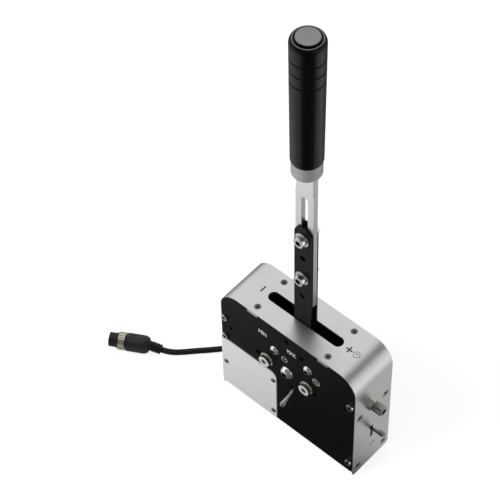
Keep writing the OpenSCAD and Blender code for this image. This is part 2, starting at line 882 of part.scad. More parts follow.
// Stops
module stop_ring(x) {
    color([0.78, 0.72, 0.55]) translate([x, 0, pivot_z]) difference() {
        union() {
            rod_y(stop_ring_r, -half_w - stop_ring_h, -half_w);
            rod_y(ring_neck_r, -half_w - stop_ring_h / 2, -inner_y + 3);
        }
        rod_y(stop_shaft_r + run, -half_w - stop_ring_h - over, -inner_y + 4);
    }
}

module left_stop_ring() { stop_ring(-stop_x); }
module right_stop_ring() { stop_ring(stop_x); }

module stop(x) {
    color([0.85, 0.85, 0.85]) translate([x, 0, pivot_z]) difference() {
        union() {
            rod_y(stop_head_r, stop_head_y - stop_head_h, stop_head_y);
            rod_y(stop_shaft_r, stop_head_y - over, half_w - 0.5);
            translate([0, 0, -cam_off]) rod_y(cam_r, -cam_y, cam_y);
        }
        face_front(0, 0, stop_head_y) hex_socket(stop_socket_af, 2.6, stop_head_h);
        for (i = [0:knurls - 1])
            rotate([0, i * 360 / knurls, 0]) translate([stop_head_r + 0.1, 0, 0])
            rod_y(knurl_r, stop_head_y - stop_head_h + 0.8, stop_head_y + 0.1);
    }
}

module left_stop() { stop(-stop_x); }
module right_stop() { stop(stop_x); }

module lock_screws() {
    color([0.75, 0.75, 0.75])
        for (p = lock_places)
            face_front(p[0], p[1]) domed_screw(lock_shank_r, lock_head_r, lock_head_h, plate_t + 3);
}

// Resistance adjuster: its screw moves the carriage that presses on the right spring
module adjuster_nut() {
    color([0.75, 0.75, 0.72]) face_end(1, adjust_y, adjust_z) difference() {
        intersection() {
            cylinder(d = nut_af / cos(30), h = nut_h, $fn = 6);
            cylinder(r1 = nut_af / 2 + nut_h - 1, r2 = nut_af / 2, h = nut_h);
        }
        translate([0, 0, -over]) cylinder(r = adjust_r + run, h = nut_h + 2 * over);
    }
}

module adjuster_screw() {
    color([0.5, 0.5, 0.5]) translate([0, adjust_y, adjust_z]) difference() {
        union() {
            rod_x(adjust_r, stop_x + stop_reach + adjust_stop_gap, adjust_head_x + over);
            rod_x(adjust_r + 2, block_x - loose - 3, block_x - loose);
            rod_x(adjust_head_r, adjust_head_x, adjust_head_x + adjust_head_l - 0.4);
            translate([adjust_head_x + adjust_head_l - 0.4, 0, 0]) rotate([0, 90, 0])
                cylinder(r1 = adjust_head_r, r2 = adjust_head_r - 0.4, h = 0.4);
        }
        translate([adjust_head_x, 0, 0]) rotate([0, 90, 0]) hex_socket(adjust_socket_af, 4.5, adjust_head_l);
    }
}

module carriage() {
    color([0.35, 0.35, 0.38]) difference() {
        translate([seat_x, -carriage_y, rod_z - slider_foot])
            cube([carriage_t, 2 * carriage_y, adjust_z - rod_z + 2 * slider_foot]);
        translate([0, adjust_y, adjust_z]) rod_x(adjust_r + run, seat_x - over, seat_x + carriage_t + over);
        translate([0, 0, rod_z]) rod_x(rod_r + run, seat_x - over, seat_x + carriage_t + over);
    }
}

// Spring drive: the rocker's pin pushes the shuttle along the guide rod against a spring on each side
module guide_rod() {
    color([0.75, 0.75, 0.75]) translate([0, 0, rod_z]) rod_x(rod_r, -block_x - rod_hold, block_x + rod_hold);
}

module left_spring_seat() {
    color([0.35, 0.35, 0.38]) translate([0, 0, rod_z]) difference() {
        rod_x(spring_r + 2.5, -seat_x - seat_t, -seat_x);
        rod_x(rod_r + press, -seat_x - seat_t - over, -seat_x + over);
    }
}

function coil_point(a, x, turn) =
    [x, spring_r * cos(turn), spring_r * sin(turn)]
    + wire_r * (cos(a) * [1, 0, 0] + sin(a) * [0, cos(turn), sin(turn)]);

module spring(x0, x1) {
    count = spring_turns * coil_steps;
    low = x0 + wire_r + 0.1;
    rise = (x1 - x0 - 2 * wire_r - 0.2) / count;
    points = [
        for (i = [0:count], k = [0:coil_sides - 1])
            coil_point(k * 360 / coil_sides, low + i * rise, i * 360 / coil_steps)
    ];
    color([0.6, 0.6, 0.6]) translate([0, 0, rod_z])
        polyhedron(points, tube_faces(count + 1, coil_sides));
}

module left_spring() { spring(-seat_x, -shuttle_x); }
module right_spring() { spring(shuttle_x, seat_x); }

module shuttle() {
    color([0.35, 0.35, 0.38]) difference() {
        translate([-shuttle_x, -cheek_y, rod_z - slider_foot])
            cube([2 * shuttle_x, 2 * cheek_y, pin_z - rod_z + slider_foot + pin_cover]);
        translate([-shuttle_x - over, -channel_y, pin_z - tail_end_r - 3])
            cube([2 * (shuttle_x + over), 2 * channel_y, tail_end_r + pin_cover + channel_h]);
        translate([0, 0, pin_z]) along_y(-cheek_y - over, cheek_y + over) union() {
            circle(drive_pin_r + pin_gap);
            translate([-drive_pin_r - pin_gap, 0]) square([2 * (drive_pin_r + pin_gap), channel_h]);
        }
        translate([0, 0, rod_z]) rod_x(rod_r + run, -shuttle_x - over, shuttle_x + over);
    }
}

// Lever
module bar_outline() {
    low = pivot_z - bar_down;
    translate([-bar_round, low + bar_round]) square([bar_w, bar_top_z - low - bar_w]);
    translate([0, low + bar_round]) circle(bar_round);
    translate([0, bar_top_z - bar_round]) circle(bar_round);
}

module lever_bar(y0, y1) {
    color([0.08, 0.08, 0.09]) along_y(y0, y1) difference() {
        bar_outline();
        translate([0, pivot_z]) circle(bush_r + press);
        for (i = [0:3])
            translate([0, upper_bolt_z - i * hole_pitch]) circle(bolt_r + run);
        for (z = rivet_z)
            translate([0, z]) circle(rivet_r + press);
    }
}

module front_lever_bar() { lever_bar(-lever_y, -core_y); }
module back_lever_bar() { lever_bar(core_y, lever_y); }

module rocker() {
    color([0.4, 0.4, 0.42]) along_y(-core_y, core_y) difference() {
        union() {
            translate([-bar_round, wing_top_z - wing_h])
                square([bar_w, rocker_top_z - wing_top_z + wing_h]);
            translate([-wing_x, wing_top_z - wing_h]) square([2 * wing_x, wing_h]);
            polygon([
                [-bar_round, wing_top_z - wing_h / 2], [bar_round, wing_top_z - wing_h / 2],
                [tail_end_r, pin_z], [-tail_end_r, pin_z]
            ]);
            translate([0, pin_z]) circle(tail_end_r);
        }
        translate([0, pivot_z]) circle(bush_r + press);
        translate([0, pin_z]) circle(drive_pin_r + press);
        for (z = rivet_z)
            translate([0, z]) circle(rivet_r + press);
    }
}

module lever_bush() {
    color([0.7, 0.55, 0.3]) difference() {
        rod_y_at_pivot(bush_r, -lever_y, lever_y);
        rod_y_at_pivot(shaft_r + run, -lever_y - over, lever_y + over);
    }
}

module lever_rivets() {
    color([0.7, 0.7, 0.7])
        for (z = rivet_z)
            translate([0, 0, z]) {
                rod_y(rivet_r, -lever_y, lever_y);
                rod_y(rivet_r + 1.5, -lever_y - 1.2, -lever_y);
                rod_y(rivet_r + 1.5, lever_y, lever_y + 1.2);
            }
}

module drive_pin() {
    color([0.7, 0.7, 0.7]) translate([0, 0, pin_z]) rod_y(drive_pin_r, -cheek_y, cheek_y);
}

module magnet() {
    color([0.5, 0.5, 0.55]) translate([0, 0, magnet_z]) rod_y(magnet_r, lever_y, lever_y + magnet_t);
}

module clamp_bolts() {
    color([0.75, 0.75, 0.75])
        for (z = bolt_places)
            face_front(0, z, -lever_y - washer_t)
            cap_screw(bolt_r, bolt_head_r, bolt_head_h, 2 * (lever_y + washer_t) + bolt_nut_h + 1);
}

module clamp_washers() {
    color([0.75, 0.75, 0.75])
        for (z = bolt_places, y = [-lever_y - washer_t, lever_y])
            translate([0, 0, z]) difference() {
                rod_y(washer_r, y, y + washer_t);
                rod_y(bolt_r + run, y - over, y + washer_t + over);
            }
}

module clamp_nuts() {
    color([0.75, 0.75, 0.75])
        for (z = bolt_places)
            face_back(0, z, lever_y + washer_t) difference() {
                cylinder(d = bolt_nut_af / cos(30), h = bolt_nut_h, $fn = 6);
                translate([0, 0, -over]) cylinder(r = bolt_r + run, h = bolt_nut_h + 2 * over);
            }
}

// Handle
module post() {
    half_p = post_w / 2;
    color("silver") difference() {
        union() {
            translate([-half_p, -post_t / 2, post_low_z]) cube([post_w, post_t, grip_z - post_low_z]);
            translate([-tang_w / 2, -post_t / 2, grip_z - over]) cube([tang_w, post_t, tang_l + over]);
        }
        translate([0, 0, (slot_low_z + slot_high_z) / 2]) along_y(-post_t, post_t)
            long_slot(post_slot_w, slot_high_z - slot_low_z);
        for (x = [-1, 1])
            scale([x, -1, 1]) translate([half_p, post_t / 2, bevel_z])
            linear_extrude(grip_z - bevel_z + over)
            polygon([[-bevel_x, 0], [-bevel_x, over], [over, over], [over, -bevel_y], [0, -bevel_y]]);
    }
}

module collar() {
    color([0.55, 0.55, 0.56]) difference() {
        translate([0, 0, collar_z]) cylinder(r = collar_r, h = collar_h);
        translate([-post_w / 2 - press, -post_t / 2 - press, collar_z - over])
            cube([post_w + 2 * press, post_t + 2 * press, collar_h + 2 * over]);
    }
}

module grip_core() {
    color([0.6, 0.6, 0.62]) difference() {
        translate([0, 0, grip_z]) cylinder(r = core_r, h = core_top_z - grip_z);
        translate([-tang_w / 2 - press, -post_t / 2 - press, grip_z - over])
            cube([tang_w + 2 * press, post_t + 2 * press, tang_l + 2 * over]);
    }
}

function grip_r(z) = grip_r_low + (grip_r_top - grip_r_low) * (z - grip_z) / (grip_l - shoulder_h);

module grip_sleeve() {
    grooves = [for (i = [2:-1:0]) grip_top_z - groove_drop - i * groove_pitch];
    groove_depth = 0.7;
    profile = concat(
        [[0, core_top_z + 2], [0, core_top_z], [core_r + press, core_top_z], [core_r + press, grip_z]],
        [for (a = [-90:15:0]) [grip_r_low - 1.2 + 1.2 * cos(a), grip_z + 1.2 + 1.2 * sin(a)]],
        [for (z = grooves, c = [[-0.5, 0], [-0.3, 1], [0.3, 1], [0.5, 0]])
            [grip_r(z) - c[1] * groove_depth, z + c[0] * groove_w]],
        [for (a = [0:15:90])
            [grip_r_top - shoulder_w * (1 - cos(a)), rim_z - (shoulder_h - 0.4) * (1 - sin(a))]],
        [[disc_r + 1.4, rim_z], [disc_r + 1.2, rim_z - 1.2], [disc_r + press, rim_z - 1.2],
         [disc_r + press, core_top_z + 2]]
    );
    color([0.05, 0.05, 0.06]) rotate_extrude($fn = 96) polygon(profile);
}

module top_disc() {
    color([0.35, 0.35, 0.36]) {
        translate([0, 0, core_top_z + 2]) cylinder(r = disc_r, h = grip_top_z - core_top_z - 2.5, $fn = 96);
        translate([0, 0, grip_top_z - 0.5]) cylinder(r1 = disc_r, r2 = disc_r - 0.5, h = 0.5, $fn = 96);
    }
}

// Sensor on the back plate
board_posts_at = [for (x = [-1, 1], z = [board_top_z - 3.2, board_top_z - board_h + 3.2])
    [x * (board_w / 2 - 3.2), z]];

module sensor_board() {
    color([0.1, 0.35, 0.2]) difference() {
        union() {
            translate([-board_w / 2, board_y, board_top_z - board_h]) cube([board_w, board_t, board_h]);
            translate([-2, board_y - 1, magnet_z - 2]) cube([4, 1, 4]);
        }
        for (p = board_posts_at)
            translate([p[0], 0, p[1]]) rod_y(1.25 + run, board_y - over, board_y + board_t + over);
    }
}

module board_posts() {
    color([0.7, 0.6, 0.3])
        for (p = board_posts_at)
            translate([p[0], 0, p[1]]) {
                rod_y(post_r, board_y + board_t, inner_y);
                rod_y(1.25, board_y - 0.6, board_y + board_t);
                rod_y(post_r, board_y - 0.8, board_y);
            }
}

// Switches: the body stands behind the wall and its lever turns about a pin near the wall
module switch_body(depth) {
    color([0.15, 0.2, 0.35]) {
        difference() {
            translate([-switch_l, -switch_w / 2, -switch_h / 2]) cube([switch_l, switch_w, switch_h]);
            translate([-depth - hub_r - over, -bat_r - 0.4, -switch_slot_h / 2])
                cube([depth + hub_r + 2 * over, 2 * (bat_r + 0.4), switch_slot_h]);
        }
        translate([-depth, 0, 0]) rod_y(hub_pin_r, -bat_r - 0.4, bat_r + 0.4);
    }
}

module switch_lever(depth, wall, out, tilt) {
    reach = (depth + wall) / cos(tilt) + out;
    ball = bat_tip_r;
    color([0.8, 0.8, 0.8]) translate([-depth, 0, 0]) rotate([0, -tilt, 0]) {
        difference() {
            rod_y(hub_r, -bat_r, bat_r);
            rod_y(hub_pin_r + run, -bat_r - over, bat_r + over);
        }
        rotate([0, 90, 0]) rotate_extrude() polygon(concat(
            [[0, hub_pin_r + 1], [bat_r, hub_pin_r + 1], [bat_r, reach - out + 4]],
            [for (a = [0:15:75]) [ball * cos(a), reach - ball + ball * sin(a)]],
            [[0.8, reach - 0.1], [0.7, reach - 1], [0, reach - 1]]
        ));
    }
}

module end_switch() {
    translate([inner_x, 0, end_switch_z]) switch_body(end_switch_d - shell_t);
}

module end_switch_lever() {
    translate([inner_x, 0, end_switch_z])
        switch_lever(end_switch_d - shell_t, shell_t, end_bat_l, end_switch_tilt);
}

module front_switch() {
    translate([front_switch_x, -inner_y, front_switch_z]) rotate(-90)
        switch_body(front_switch_d - plate_t);
}

module front_switch_lever() {
    translate([front_switch_x, -inner_y, front_switch_z]) rotate(-90)
        switch_lever(front_switch_d - plate_t, plate_t, front_bat_l, -front_switch_tilt);
}

// Cable
function unit(v) = v / norm(v);

function tube_faces(rings, sides) = concat(
    [for (k = [1:sides - 2]) [0, k, k + 1]],
    [for (i = [0:rings - 2], k = [0:sides - 1])
        let (a = i * sides + k, b = i * sides + (k + 1) % sides) [a, a + sides, b]],
    [for (i = [0:rings - 2], k = [0:sides - 1])
        let (a = i * sides + k, b = i * sides + (k + 1) % sides) [b, a + sides, b + sides]],
    [for (k = [1:sides - 2])
        let (a = (rings - 1) * sides) [a, a + k + 1, a + k]]
);

module cable_gland() {
    color([0.08, 0.08, 0.08]) face_end(-1, outlet_y, outlet_z) {
        cylinder(r = gland_r, h = gland_h);
        translate([0, 0, -shell_t - 6]) cylinder(r = gland_neck_r, h = shell_t + 7);
    }
}

module cord() {
    last = len(cord_points) - 1;
    points = [
        for (i = [0:last])
            let (
                way = unit(cord_points[min(i + 1, last)] - cord_points[max(i - 1, 0)]),
                across = unit(cross(way, [0, 0, 1])),
                up = cross(across, way)
            )
            for (k = [0:cord_sides - 1])
                cord_points[i] + cord_r * (cos(k * 360 / cord_sides) * across
                    + sin(k * 360 / cord_sides) * up)
    ];
    color([0.08, 0.08, 0.08]) polyhedron(points, tube_faces(last + 1, cord_sides));
}

module strain_relief() {
    way = unit(relief_end - plug_at);
    rib_pitch = (relief_l - relief_rib_w) / relief_ribs;
    color([0.08, 0.08, 0.08]) translate(relief_end - way * (relief_l + relief_in))
        rotate([0, acos(way[2]), atan2(way[1], way[0])]) {
            cylinder(r1 = relief_r_plug, r2 = relief_r_cord, h = relief_l + relief_in);
            for (i = [0:relief_ribs - 1])
                translate([0, 0, relief_in + relief_rib_w + i * rib_pitch])
                    cylinder(r = relief_rib_r - relief_rib_step * i, h = relief_rib_w);
        }
}

module at_plug() {
    translate(plug_at) rotate([0, 90, plug_turn]) children();
}

module plug_body() {
    color([0.07, 0.07, 0.07]) at_plug() rotate_extrude() polygon(concat(
        [[0, 0]],
        [for (a = [0:15:90])
            [plug_r - plug_shoulder * (1 - sin(a)), plug_shoulder_l * (1 - cos(a))]],
        [[plug_r, plug_l - plug_chamfer], [plug_r - plug_chamfer, plug_l], [0, plug_l]]
    ));
}

module plug_ring_nut() {
    color([0.75, 0.72, 0.62]) at_plug() translate([0, 0, plug_l + plug_gap]) difference() {
        cylinder(r = plug_nut_r, h = plug_nut_l);
        translate([0, 0, -over]) cylinder(r = plug_barrel_r - 1.2 + run, h = plug_nut_l + 2 * over);
        for (i = [0:knurls - 1])
            rotate(i * 360 / knurls) translate([plug_nut_r + 0.3, 0, 1])
                cylinder(r = 0.6, h = plug_nut_l - 2);
    }
}

module plug_barrel() {
    front_z = plug_l + plug_gap + plug_nut_l + 0.3;
    color([0.2, 0.2, 0.2]) at_plug() difference() {
        union() {
            translate([0, 0, plug_l]) cylinder(r = plug_barrel_r - 1.2, h = front_z - plug_l);
            translate([0, 0, front_z]) cylinder(r = plug_barrel_r, h = plug_barrel_l);
            translate([0, 0, front_z]) cylinder(r = plug_flange_r, h = plug_flange_l);
        }
        translate([0, 0, front_z + 2]) cylinder(r = plug_barrel_r - 1.3, h = plug_barrel_l);
    }
}

shell();
front_plate();
back_plate();
base_plate();
front_cover();
upper_left_block();
upper_right_block();
lower_left_block();
lower_right_block();
front_left_top_block();
front_right_top_block();
back_left_top_block();
back_right_top_block();
countersunk_screws();
plate_screws();
cover_screws();
pivot_shaft();
pivot_screws();
front_spacer();
back_spacer();
left_stop_ring();
right_stop_ring();
lock_screws();
adjuster_nut();
guide_rod();
left_spring_seat();
left_spring();
right_spring();
sensor_board();
board_posts();
end_switch();
front_switch();
cable_gland();
cord();
strain_relief();
plug_body();
plug_ring_nut();
plug_barrel();
front_lever_bar();
back_lever_bar();
rocker();
lever_bush();
lever_rivets();
drive_pin();
magnet();
clamp_bolts();
clamp_washers();
clamp_nuts();
post();
collar();
grip_core();
grip_sleeve();
top_disc();
left_stop();
right_stop();
adjuster_screw();
carriage();
shuttle();
end_switch_lever();
front_switch_lever();
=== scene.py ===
"""Finishes, fine pieces and stage for a sim racing handbrake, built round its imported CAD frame."""

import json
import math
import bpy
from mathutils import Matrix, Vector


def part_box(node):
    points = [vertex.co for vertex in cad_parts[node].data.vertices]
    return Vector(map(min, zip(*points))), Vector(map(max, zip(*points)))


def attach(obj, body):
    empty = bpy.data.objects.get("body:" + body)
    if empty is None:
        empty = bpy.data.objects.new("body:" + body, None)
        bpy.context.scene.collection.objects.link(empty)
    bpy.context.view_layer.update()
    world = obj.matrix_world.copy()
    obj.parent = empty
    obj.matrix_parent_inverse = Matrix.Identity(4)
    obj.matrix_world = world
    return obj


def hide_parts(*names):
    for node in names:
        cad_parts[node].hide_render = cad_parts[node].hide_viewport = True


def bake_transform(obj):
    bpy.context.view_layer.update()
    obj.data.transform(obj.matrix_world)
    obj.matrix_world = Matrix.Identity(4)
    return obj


bl_info = {
    "name": "Sim racing handbrake",
    "version": (1, 0, 0),
    "blender": (4, 5, 0),
    "location": "View3D > Sidebar > Handbrake",
    "description": "Finishes, fine pieces and studio stage for a sim racing handbrake",
    "category": "Object",
}

from functools import partial, reduce

import bmesh
import bpy
from bpy.props import FloatProperty, FloatVectorProperty, IntProperty, PointerProperty
from mathutils import Matrix, Vector

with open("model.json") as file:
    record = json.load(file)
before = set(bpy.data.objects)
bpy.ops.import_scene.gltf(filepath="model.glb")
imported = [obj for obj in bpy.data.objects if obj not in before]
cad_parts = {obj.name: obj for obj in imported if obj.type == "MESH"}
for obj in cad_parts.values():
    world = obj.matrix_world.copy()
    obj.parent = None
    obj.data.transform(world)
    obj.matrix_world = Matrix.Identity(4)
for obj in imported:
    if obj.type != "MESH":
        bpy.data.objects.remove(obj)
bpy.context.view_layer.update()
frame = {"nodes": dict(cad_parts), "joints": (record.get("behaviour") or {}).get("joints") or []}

MM = 0.001
NODES = frame["nodes"]
JOINT_AT = {j["name"]: Vector(j.get("pos_m") or (0, 0, 0)) for j in frame["joints"]}
UP = Vector((0, 0, 1))
OUT = Vector((1, 0, 0))
BACK = Vector((0, 1, 0))
FRONT = -BACK

# Places read from the CAD nodes
(_, FRONT_Y, _), (END_X, _, TOP_Z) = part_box("shell")
ROD_Z = sum(corner.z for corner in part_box("left_spring")) / 2

# Sizes that the CAD nodes have too
CORNER_R = 20 * MM
STOP_HEAD_R = 5.5 * MM
PLUG_R = 8.5 * MM
PLUG_L = 21 * MM
BOOT_L = 10.7 * MM
BOOT_INSIDE = 2.2 * MM

# The cable's route, from the gland in the box's left end to the plug's strain relief
CABLE_ROUTE = [
    Vector(p) * MM
    for p in (
        (-77.5, 5, 14), (-82.5, 5, 14), (-89, 4.2, 11.4), (-94, 2.4, 6.8), (-99, -0.5, 3.8),
        (-104.5, -5.8, 2.9), (-110.5, -12, 2.75), (-117, -18.8, 2.75), (-123.5, -25.8, 2.8),
        (-129, -31.2, 3), (-133, -34.4, 3.5), (-136.4, -36.6, 4.2), (-139.4, -38.3, 5),
    )
]
PLUG_AT = Vector((-149, -43.6, 8.5)) * MM
PLUG_ALONG = Vector((-math.cos(math.radians(30)), -math.sin(math.radians(30)), 0))

# Words on the front plate: place of the middle and width, in millimetres
WORDS = {"MIN": (-27.3, 120.2, 8.7), "MAX": (5.0, 119.8, 9.7)}

# The camera's place, and in degrees its turn about the box, its rise above it and its tilt
CAMERA_AT = Vector((0.62528, -0.73310, 1.47980))
CAMERA_TURN, CAMERA_RISE, CAMERA_TILT = 43.129, 52.263, -1.651
CAMERA_LENS = 142.3

# Ways along the floor from the box: to the camera, and about to the left in its picture
TO_CAMERA = Vector((0.683, -0.730, 0))
TO_LEFT = Vector((-0.683, -0.730, 0))


def colour(name, words, default):
    """A colour that a user can change."""
    return FloatVectorProperty(
        name=name, description=words, subtype="COLOR", size=3, min=0, max=1, default=default
    )


def amount(name, words, default, **kind):
    """A number from 0 up that a user can change."""
    return FloatProperty(name=name, description=words, min=0, default=default, **kind)


length = partial(amount, unit="LENGTH", subtype="DISTANCE")


class HandbrakeColours(bpy.types.PropertyGroup):
    """Colours of the handbrake's finishes."""

    shell: colour("Shell", "Satin metal of the bent shell", (0.60, 0.60, 0.605))
    plate: colour("Plates", "Black of the side plates", (0.0045, 0.0045, 0.005))
    cover: colour("Front cover", "Brushed sheet of the front cover", (0.86, 0.86, 0.86))
    lever: colour("Lever bars", "Black of the two lever bars", (0.0045, 0.0045, 0.005))
    post: colour("Post", "Satin metal of the handle's post", (0.76, 0.76, 0.765))
    collar: colour("Collar", "Turned metal under the grip", (0.36, 0.36, 0.365))
    grip: colour("Grip", "Black of the grip's sleeve", (0.0012, 0.0012, 0.0014))
    disc: colour("Grip disc", "Dark metal of the disc in the grip's top", (0.24, 0.24, 0.245))
    nickel: colour("Screws", "Plated screws, nuts and washers", (0.64, 0.64, 0.65))
    # Painted shade: the screws in the shell's top are nickel like the others, darkened in colour.
    dark_screw: colour("Top screws", "Darkened screws in the shell's top", (0.10, 0.10, 0.10))
    brass: colour("Stop rings", "Pale brass of the rings under the stops", (0.93, 0.87, 0.66))
    plug_nut: colour("Plug nut", "Warm nickel of the plug's ring nut", (0.50, 0.47, 0.38))
    cable: colour("Cable", "Black of the cable, plug and strain relief", (0.008, 0.008, 0.008))
    light_ink: colour("Light ink", "Print on the front plate", (0.52, 0.52, 0.52))
    dark_ink: colour("Dark ink", "Print and marks on the shell", (0.03, 0.03, 0.03))


class HandbrakeSizes(bpy.types.PropertyGroup):
    """Sizes of the handbrake's fine pieces."""

    plate_edge: length("Plate edge", "Rounding of the sheet metal's edges", 0.25 * MM)
    fine_edge: length("Fine edge", "Rounding of screws and small turned pieces", 0.15 * MM)
    cable_width: length("Cable width", "Diameter of the cable", 5.5 * MM)
    wire_r: length("Spring wire", "Radius of the spring wire", 0.8 * MM)
    spring_r: length("Spring radius", "Mean radius of the springs", 5.2 * MM)
    knurl_h: length("Knurl height", "Height of the stops' knurling", 0.28 * MM)
    knurl_w: length("Knurl width", "Width of the stops' knurled bands", 2.9 * MM)
    word_h: length("Word height", "Height of the two words by the stops", 5.3 * MM)
    ink_t: length("Ink", "Thickness of print", 0.03 * MM)
    spring_turns: IntProperty(
        name="Spring turns", description="Turns of each spring, its flat ends included",
        min=4, max=12, default=8,
    )
    knurl_count: IntProperty(
        name="Knurls", description="Points round each stop's knurled band",
        min=12, max=60, default=36,
    )


class HandbrakeStage(bpy.types.PropertyGroup):
    """Studio floor, lamps and sky."""

    floor_w: length("Floor", "Width of the studio floor", 12)
    key_power: amount("Key lamp", "Power of the large lamp", 36, unit="POWER")
    rim_power: amount("Rim lamp", "Power of the lamp behind", 8, unit="POWER")
    sky: amount("Sky", "Strength of the pale sky on matt surfaces", 0.5)


# Shader node helpers


def fill(tree, node, inputs):
    """Sets a node's inputs to values, or links them to sockets."""
    for name, value in inputs.items():
        if isinstance(value, bpy.types.NodeSocket):
            tree.links.new(value, node.inputs[name])
        else:
            node.inputs[name].default_value = value


def add_node(tree, kind, inputs=None, **settings):
    """The outputs of a new shader node with the given inputs and settings."""
    made = tree.nodes.new("ShaderNode" + kind)
    for name, value in settings.items():
        setattr(made, name, value)
    fill(tree, made, inputs or {})
    return made.outputs


def value_of(tree, operation, *values):
    """The value of a Math node."""
    return add_node(tree, "Math", dict(enumerate(values)), operation=operation)[0]


def product(tree, *values):
    """The values multiplied."""
    return reduce(partial(value_of, tree, "MULTIPLY"), values)


def mean_of(tree, a, b, share):
    """A share of the value a and the rest of b."""
    return value_of(tree, "MULTIPLY_ADD", a, share, product(tree, b, 1 - share))


def vector_of(tree, operation, *values, out=0):
    """An output of a Vector Math node."""
    return add_node(tree, "VectorMath", dict(enumerate(values)), operation=operation)[out]


def scaled(tree, vector, factor):
    """A vector or colour times a factor."""
    return add_node(tree, "VectorMath", {0: vector, "Scale": factor}, operation="SCALE")[0]


def spread(tree, value, low, high, to_low=0.0, to_high=1.0):
    """Value from low..high brought to to_low..to_high, held inside it."""
    ends = {"From Min": low, "From Max": high, "To Min": to_low, "To Max": to_high}
    return add_node(tree, "MapRange", {"Value": value, **ends})[0]


def blend_colour(tree, factor, a, b):
    """The colour of a Mix node, from sockets or tints."""
    a, b = (c if isinstance(c, bpy.types.NodeSocket) else (*c, 1.0) for c in (a, b))
    return add_node(tree, "Mix", {0: factor, 6: a, 7: b}, data_type="RGBA")[2]


def place(tree):
    """The point on the object, in metres from the middle of the box's underside."""
    return add_node(tree, "TexCoord")["Object"]


def noise(tree, scale, detail, rough, at=None):
    """A noise value from 0 to 1, at the point on the object or at another vector."""
    inputs = {"Vector": at or place(tree), "Scale": scale, "Detail": detail, "Roughness": rough}
    return add_node(tree, "TexNoise", inputs)["Fac"]


def ray_masks(tree):
    """Masks of the rays from the camera, and of those from polished and clear pieces."""
    rays = add_node(tree, "LightPath")
    mirrored = value_of(tree, "MAXIMUM", rays["Is Glossy Ray"], rays["Is Transmission Ray"])
    return rays["Is Camera Ray"], mirrored


# Effects that the materials share


def effect(name, output, build, **inputs):
    """A node group with one output, which build makes from the tree and the inputs."""
    tree = bpy.data.node_groups.new(name, "ShaderNodeTree")
    for label, default in inputs.items():
        kind = "NodeSocketVector" if isinstance(default, tuple) else "NodeSocketFloat"
        socket = tree.interface.new_socket(name=label, in_out="INPUT", socket_type=kind)
        socket.default_value = default
    tree.interface.new_socket(name=output, in_out="OUTPUT", socket_type="NodeSocketFloat")
    start = tree.nodes.new("NodeGroupInput")
    end = tree.nodes.new("NodeGroupOutput")
    tree.links.new(build(tree, start.outputs), end.inputs[output])
    return tree


def brushed(tree, given):
    """Short fine lines along the direction that Stretch leaves long."""
    at = vector_of(tree, "MULTIPLY", place(tree), given["Stretch"])
    return spread(tree, noise(tree, 1.0, 4.0, 0.7, at), 0.3, 0.7)


def turned(tree, given):
    """Lathe lines round an axis, on its faces and its sides."""
    off = vector_of(tree, "SUBTRACT", place(tree), given["Centre"])
    along = vector_of(tree, "DOT_PRODUCT", off, given["Axis"], out="Value")
    across = vector_of(tree, "SUBTRACT", off, scaled(tree, given["Axis"], along))
    radius = vector_of(tree, "LENGTH", across, out="Value")
    flat = add_node(tree, "CombineXYZ", {"X": radius, "Y": along})[0]
    return spread(tree, noise(tree, given["Fineness"], 3.0, 0.6, flat), 0.35, 0.65)


def grained(tree, given):
    """Fine even grain, as of a blasted or moulded surface."""
    return spread(tree, noise(tree, given["Fineness"], 2.0, 0.5), 0.3, 0.7)


def handled(tree, given):
    """Soft uneven patches, as where hands and rags have passed."""
    wide = noise(tree, given["Size"], 2.0, 0.5)
    small = noise(tree, product(tree, given["Size"], 5.0), 3.0, 0.6)
    return spread(tree, mean_of(tree, small, wide, 0.4), 0.35, 0.65)


def rubbed_edges_and_sheen(tree, given):
    """A value of 1 on the edges that rub bright, broken up by noise; on most pieces bare metal
    through the paint, on the grip's sleeve partly a painted highlight on its groove lips.
    """
    rounded = add_node(tree, "Bevel", {"Radius": given["Width"]}, samples=4)[0]
    flat = add_node(tree, "NewGeometry")["Normal"]
    same = vector_of(tree, "DOT_PRODUCT", rounded, flat, out="Value")
    edge = spread(tree, same, 0.97, 0.80)
    broken = spread(tree, noise(tree, 900.0, 3.0, 0.6), 0.4, 0.6)
    patchy = spread(tree, noise(tree, 60.0, 2.0, 0.5), 0.4, 0.65)
    return product(tree, broken, patchy, edge)


def painted_cavity_shade(tree, given):
    """1 where the surface is open, and towards 0 deep in its own sockets and grooves, where painted
    shade goes.
    """
    reach = {"Distance": given["Reach"]}
    open_sky = add_node(tree, "AmbientOcclusion", reach, samples=6, only_local=True)["AO"]
    return spread(tree, open_sky, 0.55, 0.95)


def make_effects():
    """The effects that the materials share, by name."""
    return {
        "brushed": effect("Brushed lines", "Lines", brushed, Stretch=(150, 4000, 4000)),
        "turned": effect(
            "Turned lines", "Lines", turned, Centre=(0, 0, 0), Axis=(0, 0, 1), Fineness=3000.0
        ),
        "grained": effect("Fine grain", "Grain", grained, Fineness=3000.0),
        "handled": effect("Handled patches", "Patches", handled, Size=25.0),
        # Rubbed edges, partly painted highlight on the grip's sleeve
        "rub_and_sheen": effect("Rubbed edges and painted sheen", "Mask", rubbed_edges_and_sheen, Width=0.3 * MM),
        # Painted shade in each piece's own sockets and grooves
        "painted_cavity_shade": effect("Painted cavity shade", "Open", painted_cavity_shade, Reach=1.5 * MM),
    }


# Finishes

# Patterns: an effect's name and its own inputs
ALONG_X = ("brushed", {"Stretch": (140, 4200, 4200)})
ALONG_Z = ("brushed", {"Stretch": (4200, 4200, 140)})
SHEET_GRAIN = ("brushed", {"Stretch": (900, 900, 420)})
BLASTED = ("grained", {"Fineness": 5200.0})
MOULDED = ("grained", {"Fineness": 3200.0})
MOULDED_COARSE = ("grained", {"Fineness": 2200.0})
BOARD_GRAIN = ("grained", {"Fineness": 700.0})

